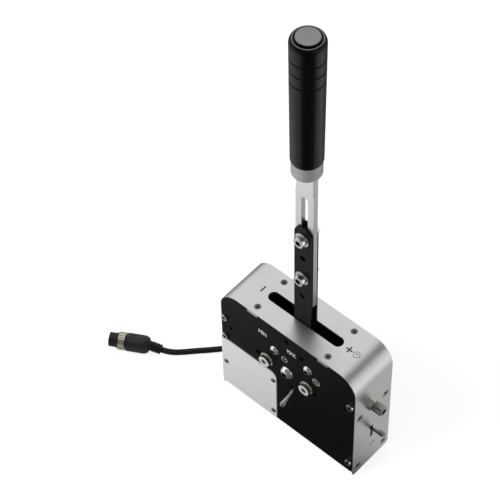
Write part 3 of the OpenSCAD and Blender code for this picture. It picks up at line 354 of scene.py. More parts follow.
# The bare metal where paint has rubbed through
BARE = (0.62, 0.62, 0.63)
# The share of a finish's colour that is left deep in its sockets and grooves, as painted shade
PAINTED_CAVITY_SHADE = 0.12
RELIEF_DEPTH = 0.02 * MM
# The share of a finish's variety that comes from its fine pattern, the rest from soft patches
PATTERN_SHARE = 0.6


def spun(centre=(0, 0, 0), axis=UP, fineness=3200.0):
    """The pattern of a surface turned about an axis."""
    return ("turned", {"Centre": centre, "Axis": axis, "Fineness": fineness})


def shade(tint, amount):
    """The tint lighter or darker by a factor."""
    return [min(1.0, c * amount) for c in tint]


def shader_of(name):
    """A material's node tree and its main shader."""
    tree = bpy.data.materials[name].node_tree
    return tree, tree.nodes["Principled BSDF"]


def new_material(name):
    """A new material's node tree and its main shader."""
    if name in bpy.data.materials:
        raise RuntimeError(f"a material named {name} is there already")
    bpy.data.materials.new(name).use_nodes = True
    return shader_of(name)


def finish(
    effects, name, tint, pattern, rough, metal=1.0, bump=0.15, variety=0.08, rough_variety=0.06,
    patches=25.0, wear=None, wear_width=0.2 * MM, recess=None, specular=0.5, coat=0.0,
):
    """A procedural material: a fine pattern over soft patches, with rubbed edges, which on the
    grip's sleeve are partly a painted highlight, and painted shade in its own sockets and grooves.

    pattern is an effect's name and its own inputs. It drives colour, roughness and bump.
    """
    tree, surface = new_material(name)

    def placed(kind, inputs):
        return add_node(tree, "Group", inputs, node_tree=effects[kind])[0]

    line = placed(*pattern)
    both = mean_of(tree, line, placed("handled", {"Size": patches}), PATTERN_SHARE)
    paint = blend_colour(tree, both, shade(tint, 1 - variety), shade(tint, 1 + variety))
    roughness = spread(tree, both, 0.0, 1.0, rough + rough_variety, rough - rough_variety)
    # Rubbed edges: bare metal through the paint, and on the grip's sleeve partly a painted highlight
    # on its groove lips.
    if wear:
        rub_and_sheen_edges = placed("rub_and_sheen", {"Width": wear_width})
        paint = blend_colour(tree, rub_and_sheen_edges, paint, wear)
        metal = spread(tree, rub_and_sheen_edges, 0.0, 1.0, metal, 1.0)
    # Painted shade: deep in the piece's own sockets and grooves, the colour darkens to a small share
    # of its tint.
    if recess:
        cavity_shade_open = placed("painted_cavity_shade", {"Reach": recess})
        paint = blend_colour(tree, cavity_shade_open, shade(tint, PAINTED_CAVITY_SHADE), paint)
    relief = add_node(tree, "Bump", {"Strength": bump, "Distance": RELIEF_DEPTH, "Height": line})
    fill(tree, surface, {
        "Base Color": paint, "Metallic": metal, "Roughness": roughness, "Normal": relief[0],
        "Specular IOR Level": specular, "Coat Weight": coat,
    })


def recolour_above(name, height, tint, metal):
    """Gives a material another tint above a height, where one node has two finishes: the grip's
    polished lip, and painted shade on the screws in the shell's top.
    """
    tree, surface = shader_of(name)
    paint, shine = surface.inputs["Base Color"], surface.inputs["Metallic"]
    at = add_node(tree, "SeparateXYZ", {0: place(tree)})
    above = value_of(tree, "GREATER_THAN", at["Z"], height)
    old_shine = shine.links[0].from_socket if shine.is_linked else shine.default_value
    tree.links.new(blend_colour(tree, above, paint.links[0].from_socket, tint), paint)
    tree.links.new(spread(tree, above, 0.0, 1.0, old_shine, metal), shine)


def paint_shade_by_facing(name, axis, along, across):
    """Paints shade into a material's colour, scaling it on the faces that look along an axis and on
    those across it.
    """
    tree, surface = shader_of(name)
    paint = surface.inputs["Base Color"]
    facing = add_node(tree, "SeparateXYZ", {0: add_node(tree, "TexCoord")["Normal"]})
    level = spread(tree, value_of(tree, "ABSOLUTE", facing[axis]), 0.3, 0.9, across, along)
    tree.links.new(scaled(tree, paint.links[0].from_socket, level), paint)


def box_finishes(make, colours):
    """The box and its screws, whose nickel has darker and lighter copies as painted shade and
    painted light, the screws in the shell's top darkest.
    """
    make("shell_satin", colours.shell, ALONG_X, rough=0.35, bump=0.1, variety=0.05,
         rough_variety=0.05, recess=1.2 * MM)
    make("plate_black", colours.plate, BLASTED, rough=0.4, metal=0.0, bump=0.12, variety=0.25,
         wear=BARE, specular=0.05, recess=1.5 * MM)
    make("base_black", colours.plate, BLASTED, rough=0.5, metal=0.0, variety=0.25, wear=BARE,
         specular=0.25)
    make("cover_brushed", colours.cover, SHEET_GRAIN, rough=0.4, metal=0.35, bump=0.18,
         variety=0.07, rough_variety=0.08, patches=90.0, recess=0.8 * MM)
    make("block_milled", (0.58, 0.58, 0.60), BLASTED, rough=0.45, recess=2 * MM)
    nickel = colours.nickel
    make("screw_nickel", nickel, BLASTED, rough=0.22, bump=0.06, variety=0.06, recess=7 * MM)
    # Painted shade on the cover screws and switch levers, and painted light on the pivot and lock
    # screws: copies of the same nickel.
    make("dark_nickel", shade(nickel, 0.5), BLASTED, rough=0.2, bump=0.06, recess=4 * MM)
    make("bright_nickel", shade(nickel, 1.5), BLASTED, rough=0.15, bump=0.06, recess=5 * MM)
    # Painted shade: the countersunk screws are a darkened copy of the nickel, those in the shell's
    # top darker still.
    make("flush_screws", shade(nickel, 0.45), BLASTED, rough=0.25, bump=0.06, variety=0.06,
         recess=5 * MM)
    top_screw_l = 16 * MM
    recolour_above("flush_screws", TOP_Z - top_screw_l, colours.dark_screw, 0.6)


def drive_finishes(make, colours):
    """The stops, the resistance adjuster and what it moves, the shafts and the springs."""
    for side in ("left", "right"):
        faced = spun(JOINT_AT[side + "_stop_turn"], BACK)
        make(side + "_stop_face", (0.95, 0.95, 0.95), faced, rough=0.3, metal=0.6, bump=0.1,
             variety=0.05, recess=3 * MM)
        make(side + "_ring_brass", colours.brass, faced, rough=0.25, bump=0.1, recess=0.4 * MM)
    make("knurl_black", (0.018, 0.018, 0.018), BLASTED, rough=0.38, metal=0.5, bump=0.1,
         variety=0.2, wear=BARE, wear_width=0.1 * MM)
    make("adjuster_nut_nickel", (0.78, 0.75, 0.64), BLASTED, rough=0.24, bump=0.06,
         recess=1.2 * MM)
    make("adjuster_head_grey", (0.30, 0.30, 0.305), spun(JOINT_AT["adjuster_turn"], OUT),
         rough=0.3, bump=0.12, recess=6 * MM)
    make("drive_grey", (0.30, 0.30, 0.32), BLASTED, rough=0.45, variety=0.1)
    make("ground_steel", (0.66, 0.66, 0.67), ALONG_X, rough=0.25, bump=0.05)
    make("wire_steel", (0.46, 0.46, 0.47), BLASTED, rough=0.32, bump=0.05)


def lever_finishes(make, colours):
    """The lever and the handle on it."""
    make("lever_black", colours.lever, BLASTED, rough=0.4, metal=0.0, bump=0.12, variety=0.25,
         wear=BARE, specular=0.09, recess=1.5 * MM)
    make("rocker_steel", (0.36, 0.36, 0.38), ALONG_Z, rough=0.4, recess=2 * MM)
    make("bush_bronze", (0.55, 0.36, 0.15), spun(JOINT_AT["lever_tilt"], BACK), rough=0.3)
    make("post_satin", colours.post, ALONG_Z, rough=0.33, bump=0.1, variety=0.05)
    # Painted shade: the post's faces that look along X are darkened.
    paint_shade_by_facing("post_satin", "X", along=0.58, across=1.0)
    make("core_turned", (0.6, 0.6, 0.62), spun(), rough=0.4)
    make("collar_turned", colours.collar, spun(fineness=2600.0), rough=0.5, metal=0.3, bump=0.18,
         variety=0.07)
    # Partly painted highlight: the sleeve's light edge tint brightens the lips of its grooves.
    make("sleeve_black", colours.grip, spun(fineness=2400.0), rough=0.28, metal=0.0, bump=0.08,
         variety=0.3, patches=40.0, wear=(0.22, 0.22, 0.22), wear_width=0.25 * MM, specular=0.15)
    lip_h = 0.2 * MM
    sleeve_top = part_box("grip_sleeve")[1].z
    recolour_above("sleeve_black", sleeve_top - lip_h, (0.14, 0.14, 0.14), 1.0)
    make("disc_turned", colours.disc, spun(fineness=4000.0), rough=0.3, bump=0.14, variety=0.12)
    # Painted shade: the disc's faces that look sideways are darkened almost to black.
    paint_shade_by_facing("disc_turned", "Z", along=1.0, across=0.06)


def electric_finishes(make, colours):
    """Sensor, switches, cable and plug, and the print on the box."""
    make("board_green", (0.02, 0.10, 0.045), BOARD_GRAIN, rough=0.35, metal=0.0, variety=0.3,
         coat=0.4)
    make("post_brass", (0.6, 0.48, 0.22), BLASTED, rough=0.28)
    make("switch_blue", (0.02, 0.03, 0.08), MOULDED, rough=0.4, metal=0.0, variety=0.15)
    make("magnet_nickel", (0.55, 0.55, 0.57), BLASTED, rough=0.2)
    make("cable_black", colours.cable, MOULDED, rough=0.5, metal=0.0, bump=0.12, variety=0.2,
         specular=0.2)
    make("relief_rubber", colours.cable, MOULDED, rough=0.6, metal=0.0, bump=0.2, variety=0.2,
         specular=0.3, recess=1.2 * MM)
    make("plug_black", shade(colours.cable, 1.5), MOULDED_COARSE, rough=0.46, metal=0.0,
         bump=0.22, variety=0.2, specular=0.3, recess=1.0 * MM)
    make("plug_nut_nickel", colours.plug_nut, BLASTED, rough=0.3, bump=0.1, variety=0.1,
         recess=0.8 * MM)
    make("plug_barrel_dark", (0.010, 0.010, 0.010), MOULDED, rough=0.34, metal=0.0, bump=0.08,
         variety=0.15, specular=0.2)
    make("pin_gold", (0.75, 0.56, 0.24), BLASTED, rough=0.2, bump=0.05)
    make("ink_light", colours.light_ink, MOULDED, rough=0.6, metal=0.0)
    make("ink_dark", colours.dark_ink, MOULDED, rough=0.55, metal=0.0, variety=0.15)


# Mesh helpers


def new_object(name, data):
    """An object in the scene."""
    obj = bpy.data.objects.new(name, data)
    bpy.context.scene.collection.objects.link(obj)
    return obj


def new_piece(name, data, material, body=None, smooth=None):
    """An object with a material, which may ride on a body."""
    obj = new_object(name, data)
    data.materials.append(bpy.data.materials[material])
    if smooth is not None:
        for face in data.polygons:
            face.use_smooth = True
        data.set_sharp_from_angle(angle=math.radians(smooth))
    if body:
        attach(obj, body)
    return obj


def axes_at(origin, x, y, z):
    """A matrix with the given axes, at origin."""
    return Matrix.Translation(origin) @ Matrix((x, y, z)).transposed().to_4x4()


def frame_along(origin, along):
    """A matrix whose Z is along and whose X leans upwards, at origin."""
    z = along.normalized()
    x = (UP - z * UP.dot(z)).normalized()
    return axes_at(origin, x, z.cross(x), z)


def circle(count):
    """The cosines and sines of points evenly round a circle."""
    turns = [math.tau * i / count for i in range(count)]
    return [(math.cos(turn), math.sin(turn)) for turn in turns]


def turned_rings(place_at, profile, count, shaped=None):
    """Rings of points about a frame's Z, from (along, radius) pairs.

    shaped(along, radius, angle) may give each point a radius of its own.
    """
    rings = []
    for along, radius in profile:
        ring = []
        for i, (cosine, sine) in enumerate(circle(count)):
            r = shaped(along, radius, math.tau * i / count) if shaped else radius
            ring.append(place_at @ Vector((r * cosine, r * sine, along)))
        rings.append(ring)
    return rings


def wrapped_mesh(name, *shells):
    """A mesh of closed shells, each made of rings of points that are joined in turn and capped."""
    shape = bmesh.new()
    for rings in shells:
        rows = [[shape.verts.new(p) for p in ring] for ring in rings]
        for low, high in zip(rows, rows[1:]):
            for i in range(len(low)):
                shape.faces.new((low[i - 1], low[i], high[i], high[i - 1]))
        shape.faces.new(list(reversed(rows[0])))
        shape.faces.new(rows[-1])
    bmesh.ops.recalc_face_normals(shape, faces=shape.faces)
    mesh = bpy.data.meshes.new(name)
    shape.to_mesh(mesh)
    shape.free()
    return mesh


def flat_mesh(name, outlines, lift):
    """A thin shape from outlines of points, each raised by the vector lift."""
    return wrapped_mesh(name, *([line, [p + lift for p in line]] for line in outlines))


def rectangle(x, y, wide, deep):
    """The corners of a rectangle about a middle, in its own plane."""
    corners = ((-1, -1), (1, -1), (1, 1), (-1, 1))
    return [(x + sx * wide / 2, y + sy * deep / 2) for sx, sy in corners]


def ease_edges(obj, width):
    """Rounds an object's hard edges a little, as on real pieces."""
    weld = obj.modifiers.new("Weld", "WELD")
    weld.merge_threshold = 0.002 * MM
    flatten = obj.modifiers.new("Flat faces", "DECIMATE")
    flatten.decimate_type = "DISSOLVE"
    flatten.angle_limit = math.radians(0.4)
    edge = obj.modifiers.new("Edge", "BEVEL")
    edge.width = width
    edge.segments = 2
    edge.limit_method = "ANGLE"
    edge.angle_limit = math.radians(32)
    edge.use_clamp_overlap = True
    even = obj.modifiers.new("Even shading", "WEIGHTED_NORMAL")
    even.keep_sharp = False


def dress(material, edge, *names):
    """Gives CAD nodes a material and, where edge isn't 0, rounded edges of that width."""
    for name in names:
        obj = NODES[name]
        obj.data.materials.clear()
        obj.data.materials.append(bpy.data.materials[material])
        if edge:
            ease_edges(obj, edge)


# Operators


class HANDBRAKE_OT_camera(bpy.types.Operator):
    """Places the camera where the photograph was taken from"""

    bl_idname = "handbrake.camera"
    bl_label = "Camera"

    def execute(self, context):
        turn, rise, tilt = (math.radians(a) for a in (CAMERA_TURN, CAMERA_RISE, CAMERA_TILT))
        back = Vector((
            math.sin(turn) * math.cos(rise), -math.cos(turn) * math.cos(rise), math.sin(rise)
        ))
        level = Vector((math.cos(turn), math.sin(turn), 0))
        right = math.cos(tilt) * level + math.sin(tilt) * back.cross(level)
        lens = bpy.data.cameras.new("photo_camera")
        lens.lens = CAMERA_LENS
        lens.sensor_width = 36
        lens.clip_start = 0.05
        lens.clip_end = 50
        camera = new_object("photo_camera", lens)
        camera.matrix_world = axes_at(CAMERA_AT, right, back.cross(right), back)
        context.scene.camera = camera
        return {"FINISHED"}


class HANDBRAKE_OT_finishes(bpy.types.Operator):
    """Makes the finishes that the pieces wear"""

    bl_idname = "handbrake.finishes"
    bl_label = "Finishes"

    def execute(self, context):
        colours = context.scene.handbrake_colours
        make = partial(finish, make_effects())
        for section in (box_finishes, drive_finishes, lever_finishes, electric_finishes):
            section(make, colours)
        return {"FINISHED"}


def smooth_route(points, steps):
    """Points on a smooth curve through the given ones, with steps to each span."""
    made = []
    last = len(points) - 1
    for i in range(last):
        before, a, b, after = (points[max(0, min(last, i + k))] for k in (-1, 0, 1, 2))
        for k in range(steps):
            t = k / steps
            made.append(0.5 * (
                2 * a + (b - before) * t + (2 * before - 5 * a + 4 * b - after) * t * t
                + (3 * a - before - 3 * b + after) * t ** 3
            ))
    made.append(points[last])
    lowest = min(p.z for p in points)
    return [Vector((p.x, p.y, max(p.z, lowest))) for p in made]


class HANDBRAKE_OT_cable(bpy.types.Operator):
    """Makes the cable, its strain relief, plug body and contacts"""

    bl_idname = "handbrake.cable"
    bl_label = "Cable and plug"

    def execute(self, context):
        sizes = context.scene.handbrake_sizes
        route = smooth_route(CABLE_ROUTE, 4)
        line = bpy.data.curves.new("cable", "CURVE")
        line.dimensions = "3D"
        line.bevel_depth = sizes.cable_width / 2
        line.bevel_resolution = 6
        line.use_fill_caps = True
        spline = line.splines.new("POLY")
        spline.points.add(len(route) - 1)
        for point, at in zip(spline.points, route):
            point.co = (*at, 1)
        cable = new_piece("cable", line, "cable_black", "base")
        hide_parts("cord")

        relief = self.relief(route[-1])
        body = self.plug_body()
        insert, pins = self.insert()
        dress("plug_nut_nickel", sizes.fine_edge, "plug_ring_nut")
        dress("plug_barrel_dark", sizes.fine_edge, "plug_barrel")
        dress("relief_rubber", sizes.fine_edge, "cable_gland")
        return {"FINISHED"}

    def relief(self, end):
        """The ribbed boot between plug and cable, with two webs between each pair of ribs."""
        ribs, rib_w, web_drop = 5, 1.3 * MM, 0.1 * MM
        foot_l, mouth_l, web_reach = 0.4 * MM, 0.5 * MM, 0.93
        whole = BOOT_L + BOOT_INSIDE
        pitch = (BOOT_L - rib_w) / ribs

        def tapered(along, first, last):
            return (first + (last - first) * along / whole) * MM

        def radius(along, core, angle):
            rib = tapered(along, 4.75, 4.55)
            past = (along - BOOT_INSIDE - rib_w) / pitch
            number = math.floor(past)
            ribbed = 0 <= number < ribs
            if ribbed and (past - number) * pitch < rib_w:
                return rib
            if along < BOOT_INSIDE + foot_l or along > whole - mouth_l:
                return tapered(along, 4.5, 4.1)
            webbed = abs(math.sin(angle + (number % 2) * math.pi / 2)) > web_reach
            return rib - web_drop if ribbed and webbed else core

        steps = 96
        stations = [whole * k / steps for k in range(steps + 1)]
        profile = [(station, tapered(station, 4.25, 3.9)) for station in stations]
        way = (end - PLUG_AT).normalized()
        rings = turned_rings(frame_along(end - way * whole, way), profile, 72, radius)
        mesh = wrapped_mesh("relief_boot", rings)
        boot = new_piece("relief_boot", mesh, "relief_rubber", "base", smooth=50)
        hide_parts("strain_relief")
        return boot

    def plug_body(self):
        """The moulded plug body, with a thumb dimple on its upper side."""
        shoulder_l, shoulder_d, chamfer, before_chamfer = 6 * MM, 3.2 * MM, 0.8 * MM, 0.1 * MM
        dimple_at, dimple_l, dimple_w, dimple_d = 12.5 * MM, 5.2 * MM, 4.2 * MM, 0.55 * MM
        flat_share = 0.72
        straight_l = PLUG_L - chamfer - before_chamfer - shoulder_l
        quarter = math.pi / 2
        shoulder_steps, straight_steps, chamfer_steps = 12, 40, 4
        profile = []
        for k in range(shoulder_steps + 1):
            turn = quarter * k / shoulder_steps
            profile.append((
                shoulder_l * (1 - math.cos(turn)), PLUG_R - shoulder_d * (1 - math.sin(turn))
            ))
        for k in range(1, straight_steps + 1):
            profile.append((shoulder_l + straight_l * k / straight_steps, PLUG_R))
        for k in range(1, chamfer_steps + 1):
            turn = quarter * k / chamfer_steps
            profile.append((
                PLUG_L - chamfer * (1 - math.sin(turn)), PLUG_R - chamfer * (1 - math.cos(turn))
            ))

        def radius(along, r, angle):
            around = math.remainder(angle, math.tau) * PLUG_R
            reach = math.hypot((along - dimple_at) / dimple_l, around / dimple_w)
            if reach > 1:
                return r
            slope = max(0.0, (reach - flat_share) / (1 - flat_share))
            return r - dimple_d * (1 - slope ** 2)

        rings = turned_rings(frame_along(PLUG_AT, PLUG_ALONG), profile, 96, radius)
        mesh = wrapped_mesh("plug_shell", rings)
        body = new_piece("plug_shell", mesh, "plug_black", "base", smooth=50)
        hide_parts("plug_body")
        return body

    def insert(self):
        """The contact carrier and its pins, deep in the plug's barrel."""
        at = frame_along(PLUG_AT, PLUG_ALONG)
        floor_z, disc_r, disc_t, ease, well_r = (v * MM for v in (30.5, 5.25, 0.9, 0.2, 1.6))
        face_z, low_z, middle_r = floor_z + disc_t, floor_z + disc_t - ease, 0.001 * MM
        rings = turned_rings(at, [
            (floor_z, disc_r), (low_z, disc_r), (face_z, disc_r - ease), (face_z, well_r),
            (low_z, well_r - ease / 2), (low_z, middle_r),
        ], 48)
        disc = wrapped_mesh("contact_disc", rings)
        carrier = new_piece("contact_disc", disc, "plug_black", "base", smooth=40)

        pin_l, pin_r, pin_z, pins_r = 4.4 * MM, 0.5 * MM, floor_z + 0.6 * MM, 3.2 * MM
        profile = [(0, pin_r), (pin_l - pin_r, pin_r)] + [
            (pin_l - pin_r * (1 - math.sin(a)), pin_r * math.cos(a)) for a in (0.4, 0.8, 1.2)
        ]
        turns = [math.radians(a) for a in range(36, 360, 72)]
        spots = [(0, 0)] + [(pins_r * math.cos(a), pins_r * math.sin(a)) for a in turns]
        mesh = wrapped_mesh("contact_pins", *(
            turned_rings(at @ Matrix.Translation((x, y, pin_z)), profile, 16) for x, y in spots
        ))
        pins = new_piece("contact_pins", mesh, "pin_gold", "base", smooth=45)
        return carrier, pins


class HANDBRAKE_OT_box(bpy.types.Operator):
    """Finishes the shell, the side plates, the base, the cover and the blocks inside"""

    bl_idname = "handbrake.box"
    bl_label = "Box"

    def execute(self, context):
        sizes = context.scene.handbrake_sizes
        dress("shell_satin", sizes.plate_edge, "shell")
        dress("plate_black", sizes.plate_edge, "front_plate", "back_plate")
        dress("base_black", sizes.plate_edge, "base_plate")
        dress("cover_brushed", sizes.fine_edge, "front_cover")
        blocks = [name for name in NODES if name.endswith("_block")]
        dress("block_milled", sizes.fine_edge, *blocks)
        return {"FINISHED"}


class HANDBRAKE_OT_screws(bpy.types.Operator):
    """Finishes the box's screws, the pivot's screws and the lock screws"""

    bl_idname = "handbrake.screws"
    bl_label = "Screws"

    def execute(self, context):
        fine = context.scene.handbrake_sizes.fine_edge
        # Darker and lighter copies of the nickel here are painted shade and painted light.
        dress("flush_screws", fine, "countersunk_screws")
        dress("dark_nickel", fine, "cover_screws")
        dress("screw_nickel", fine, "plate_screws")
        dress("bright_nickel", fine, "pivot_screws", "lock_screws")
        return {"FINISHED"}


class HANDBRAKE_OT_stops(bpy.types.Operator):
    """Finishes the two stops and gives their heads a diamond knurl"""

    bl_idname = "handbrake.stops"
    bl_label = "Stops"

    def execute(self, context):
        sizes = context.scene.handbrake_sizes
        for side in ("left", "right"):
            dress(side + "_stop_face", sizes.fine_edge, side + "_stop")
            dress(side + "_ring_brass", sizes.fine_edge, side + "_stop_ring")
            self.knurl(side, sizes)
        return {"FINISHED"}

    def knurl(self, side, sizes):
        """A band of small pyramids round a stop's head, sunk into it at both ends."""
        from_face, sunk, proud, run_out = (v * MM for v in (0.35, 0.12, 0.02, 0.3))
        count, width, height = sizes.knurl_count, sizes.knurl_w, sizes.knurl_h
        rows, points_each = 24, 6
        pitch = math.tau * STOP_HEAD_R / count

        def radius(along, r, angle):
            if along in (0, width):
                return r - sunk
            across, down = angle * r / pitch, along / pitch
            ridges = [abs(((across + way * down) % 1.0) * 2 - 1) for way in (1, -1)]
            edge = min(1.0, along / run_out, (width - along) / run_out)
            return r + proud + height * min(ridges) * edge

        centre = JOINT_AT[side + "_stop_turn"]
        low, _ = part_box(side + "_stop")
        start = Vector((centre.x, low.y + from_face, centre.z))
        profile = [(width * k / rows, STOP_HEAD_R) for k in range(rows + 1)]
        rings = turned_rings(frame_along(start, BACK), profile, count * points_each, radius)
        mesh = wrapped_mesh(side + "_stop_knurl", rings)
        new_piece(side + "_stop_knurl", mesh, "knurl_black", side + "_stop")


class HANDBRAKE_OT_adjuster(bpy.types.Operator):
    """Finishes the resistance adjuster, the pieces that it moves and the shafts"""

    bl_idname = "handbrake.adjuster"
    bl_label = "Resistance adjuster"

    def execute(self, context):
        fine = context.scene.handbrake_sizes.fine_edge
        dress("adjuster_nut_nickel", fine, "adjuster_nut")
        dress("adjuster_head_grey", fine, "adjuster_screw")
        dress("drive_grey", fine, "carriage", "shuttle", "left_spring_seat")
        dress("ground_steel", fine, "guide_rod", "pivot_shaft", "front_spacer", "back_spacer",
              "drive_pin")
        return {"FINISHED"}


class HANDBRAKE_OT_springs(bpy.types.Operator):
    """Winds the springs, with closed flat ends, in place of the CAD springs"""

    bl_idname = "handbrake.springs"
    bl_label = "Springs"
    # Steps to a turn, a closed turn's pitch in wire radii, and where the right coil is split
    steps = 28
    closed_pitch = 2.08
    still_share = 0.68

    def execute(self, context):
        sizes = context.scene.handbrake_sizes
        for side in ("left", "right"):
            low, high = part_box(side + "_spring")
            rings = self.wind(low.x, high.x, sizes)
            inset = 3 * sizes.wire_r
            if side == "left":
                self.follow(side, "_coil", rings, "shuttle", low.x + inset, high.x - inset)
                continue
            still = round(self.still_share * sizes.spring_turns) * self.steps
            still_x = sum(point.x for point in rings[still]) / len(rings[still])
            self.follow(side, "_coil", rings[:still + 1], "shuttle", still_x, low.x + inset)
            self.follow(side, "_coil_end", rings[still:], "carriage", still_x, high.x - inset)
        return {"FINISHED"}

    def follow(self, side, part, rings, body, still_x, moving_x):
        """A length of coil in place of the CAD spring, which stays with the box."""
        mesh = wrapped_mesh(side + part, rings)
        coil = new_piece(side + part, mesh, "wire_steel", smooth=60)
        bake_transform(coil)
        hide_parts(side + "_spring")

    def wind(self, x0, x1, sizes):
        """A round wire wound from x0 to x1 about the guide rod."""
        turns, wire = sizes.spring_turns, sizes.wire_r
        flat = self.closed_pitch * wire
        room = x1 - x0 - 2 * wire
        rise = (room - 2 * flat) / (turns - 2)
        rings = []
        for k in range(turns * self.steps + 1):
            turn = k / self.steps
            if turn < 1:
                x = flat * turn
            elif turn > turns - 1:
                x = room - flat * (turns - turn)
            else:
                x = flat + rise * (turn - 1)
            angle = math.tau * turn
            radial = Vector((0, math.cos(angle), math.sin(angle)))
            middle = Vector((x0 + wire + x, 0, ROD_Z)) + sizes.spring_r * radial
            rings.append([middle + wire * (c * radial + s * OUT) for c, s in circle(12)])
        return rings


class HANDBRAKE_OT_lever(bpy.types.Operator):
    """Finishes the lever bars, the rocker, the bush and the clamp"""

    bl_idname = "handbrake.lever"
    bl_label = "Lever"

    def execute(self, context):
        sizes = context.scene.handbrake_sizes
        dress("lever_black", sizes.plate_edge, "front_lever_bar", "back_lever_bar")
        dress("rocker_steel", sizes.plate_edge, "rocker")
        dress("bush_bronze", 0, "lever_bush")
        dress("ground_steel", sizes.fine_edge, "lever_rivets")
        dress("magnet_nickel", sizes.fine_edge, "magnet")
        dress("screw_nickel", sizes.fine_edge, "clamp_bolts", "clamp_washers", "clamp_nuts")
        return {"FINISHED"}


class HANDBRAKE_OT_handle(bpy.types.Operator):
    """Finishes the post, the collar, the grip and its disc"""

    bl_idname = "handbrake.handle"
    bl_label = "Handle"

    def execute(self, context):
        fine = context.scene.handbrake_sizes.fine_edge
        dress("post_satin", fine, "post")
        dress("collar_turned", fine, "collar")
        dress("core_turned", 0, "grip_core")
        dress("sleeve_black", fine, "grip_sleeve")
        dress("disc_turned", fine, "top_disc")
        return {"FINISHED"}


class HANDBRAKE_OT_switches(bpy.types.Operator):
    """Finishes the switches, their levers and the sensor board"""

    bl_idname = "handbrake.switches"
    bl_label = "Switches and sensor"

    def execute(self, context):
        fine = context.scene.handbrake_sizes.fine_edge
        dress("switch_blue", fine, "end_switch", "front_switch")
        # Painted shade: the switch levers take a darkened copy of the nickel.
        dress("dark_nickel", fine, "end_switch_lever", "front_switch_lever")
        dress("board_green", 0, "sensor_board")
        dress("post_brass", 0, "board_posts")
        return {"FINISHED"}


def ring_outline(radius, line):
    """A flat ring as short closed pieces of outline, in its own plane."""
    turns = circle(48)
    inner = radius - line
    return [
        [(r * c, r * s) for r, (c, s) in ((radius, a), (radius, b), (inner, b), (inner, a))]
        for a, b in zip(turns, turns[1:] + turns[:1])
    ]


def bar_outline(start, end, line):
    """A straight stroke as short closed pieces of outline, in its own plane."""
    count = 4
    along = Vector(end) - Vector(start)
    side = Vector((-along.y, along.x)).normalized() * line / 2
    stops = [Vector(start) + along * i / count for i in range(count + 1)]
    return [[a - side, b - side, b + side, a + side] for a, b in zip(stops, stops[1:])]


def on_front(x, z):
    """Sets points of an outline on the box's front, about a place in millimetres."""
    return lambda a, b: Vector((x * MM + a, FRONT_Y, z * MM + b))


def on_end(y, z):
    """Sets points of an outline on the box's right end, about a place in millimetres."""
    return lambda a, b: Vector((END_X, y * MM + a, z * MM + b))


def on_top(x, sunk=0.0):
    """Sets points of an outline on the shell's top, which bends down beyond its flat part."""
    def at(a, b):
        past = max(0.0, abs(x * MM + a) - (END_X - CORNER_R))
        height = TOP_Z - CORNER_R + math.sqrt(CORNER_R ** 2 - past ** 2)
        return Vector((x * MM + a, b, height - sunk * MM))

    return at


class HANDBRAKE_OT_marks(bpy.types.Operator):
    """Prints the two words, the dial marks, and fills the plus and minus"""

    bl_idname = "handbrake.marks"
    bl_label = "Printed marks"

    def execute(self, context):
        sizes = context.scene.handbrake_sizes
        for text, (x, z, wide) in WORDS.items():
            self.word(text, x * MM, z * MM, wide * MM, sizes)
        self.dials(sizes.ink_t)
        self.signs(sizes.ink_t)
        return {"FINISHED"}

    def ink(self, name, outline, on, lift, material):
        """One mark, from an outline in millimetres that on sets on a face of the box."""
        shapes = [[on(a * MM, b * MM) - lift * 0.5 for a, b in piece] for piece in outline]
        new_piece(name, flat_mesh(name, shapes, lift), material, "base")

    def word(self, text, x, z, wide, sizes):
        """A word of the given width, printed on the front plate."""
        thickened = 0.025
        letters = bpy.data.curves.new(text, "FONT")
        letters.body = text
        letters.size = sizes.word_h
        letters.offset = thickened * sizes.word_h
        letters.extrude = sizes.ink_t / 2
        shape = new_object(text, letters)
        bpy.context.view_layer.update()
        graph = bpy.context.evaluated_depsgraph_get()
        mesh = bpy.data.meshes.new_from_object(shape.evaluated_get(graph))
        bpy.data.objects.remove(shape)
        mesh.materials.clear()
        spans = [(min(c), max(c)) for c in zip(*(v.co for v in mesh.vertices))]
        (left, right), (low, high) = spans[:2]
        fit = Matrix.Diagonal((wide / (right - left), sizes.word_h / (high - low), 1, 1))
        middle = Matrix.Translation((-(left + right) / 2, -(low + high) / 2, 0))
        turn = Matrix.Rotation(math.pi / 2, 4, "X")
        mesh.transform(Matrix.Translation((x, FRONT_Y, z)) @ turn @ fit @ middle)
        new_piece("word_" + text.lower(), mesh, "ink_light", "base")

    def dials(self, ink_t):
        """The small dials on the front, the top and the end, one of them with a slash."""
        line = 0.5
        dial = ring_outline(3.2, line) + bar_outline((0, 0), (1.2, 1.5), line)
        hands = dial + bar_outline((0, 0), (-1.3, 0.9), line)
        slash = ring_outline(3.9, line) + bar_outline((-1.9, 1.9), (1.9, -1.9), 0.6)
        for name, outline, on, way, material in (
            ("front_dial_mark", dial, on_front(-2.9, 103.8), FRONT, "ink_light"),
            ("front_bar_mark", slash, on_front(32.2, 103.6), FRONT, "ink_light"),
            ("top_dial_mark", hands, on_top(55.3), UP, "ink_dark"),
            ("end_dial_mark", hands, on_end(1.3, 23.8), OUT, "ink_dark"),
        ):
            self.ink(name, outline, on, way * ink_t, material)

    def signs(self, ink_t):
        """Dark fill in the minus and plus that are cut in the top."""
        cut_at, cut_depth, long, wide = 47.53, 0.3, 6.5, 1.3
        arm = (long - wide) / 2
        off = (wide + arm) / 2
        plus = [rectangle(cut_at, 0, wide, long)]
        plus += [rectangle(cut_at + way * off, 0, arm, wide) for way in (-1, 1)]
        on = on_top(0, cut_depth)
        self.ink("minus_fill", [rectangle(-cut_at, 0, wide, long)], on, UP * ink_t, "ink_dark")
        self.ink("plus_fill", plus, on, UP * ink_t, "ink_dark")


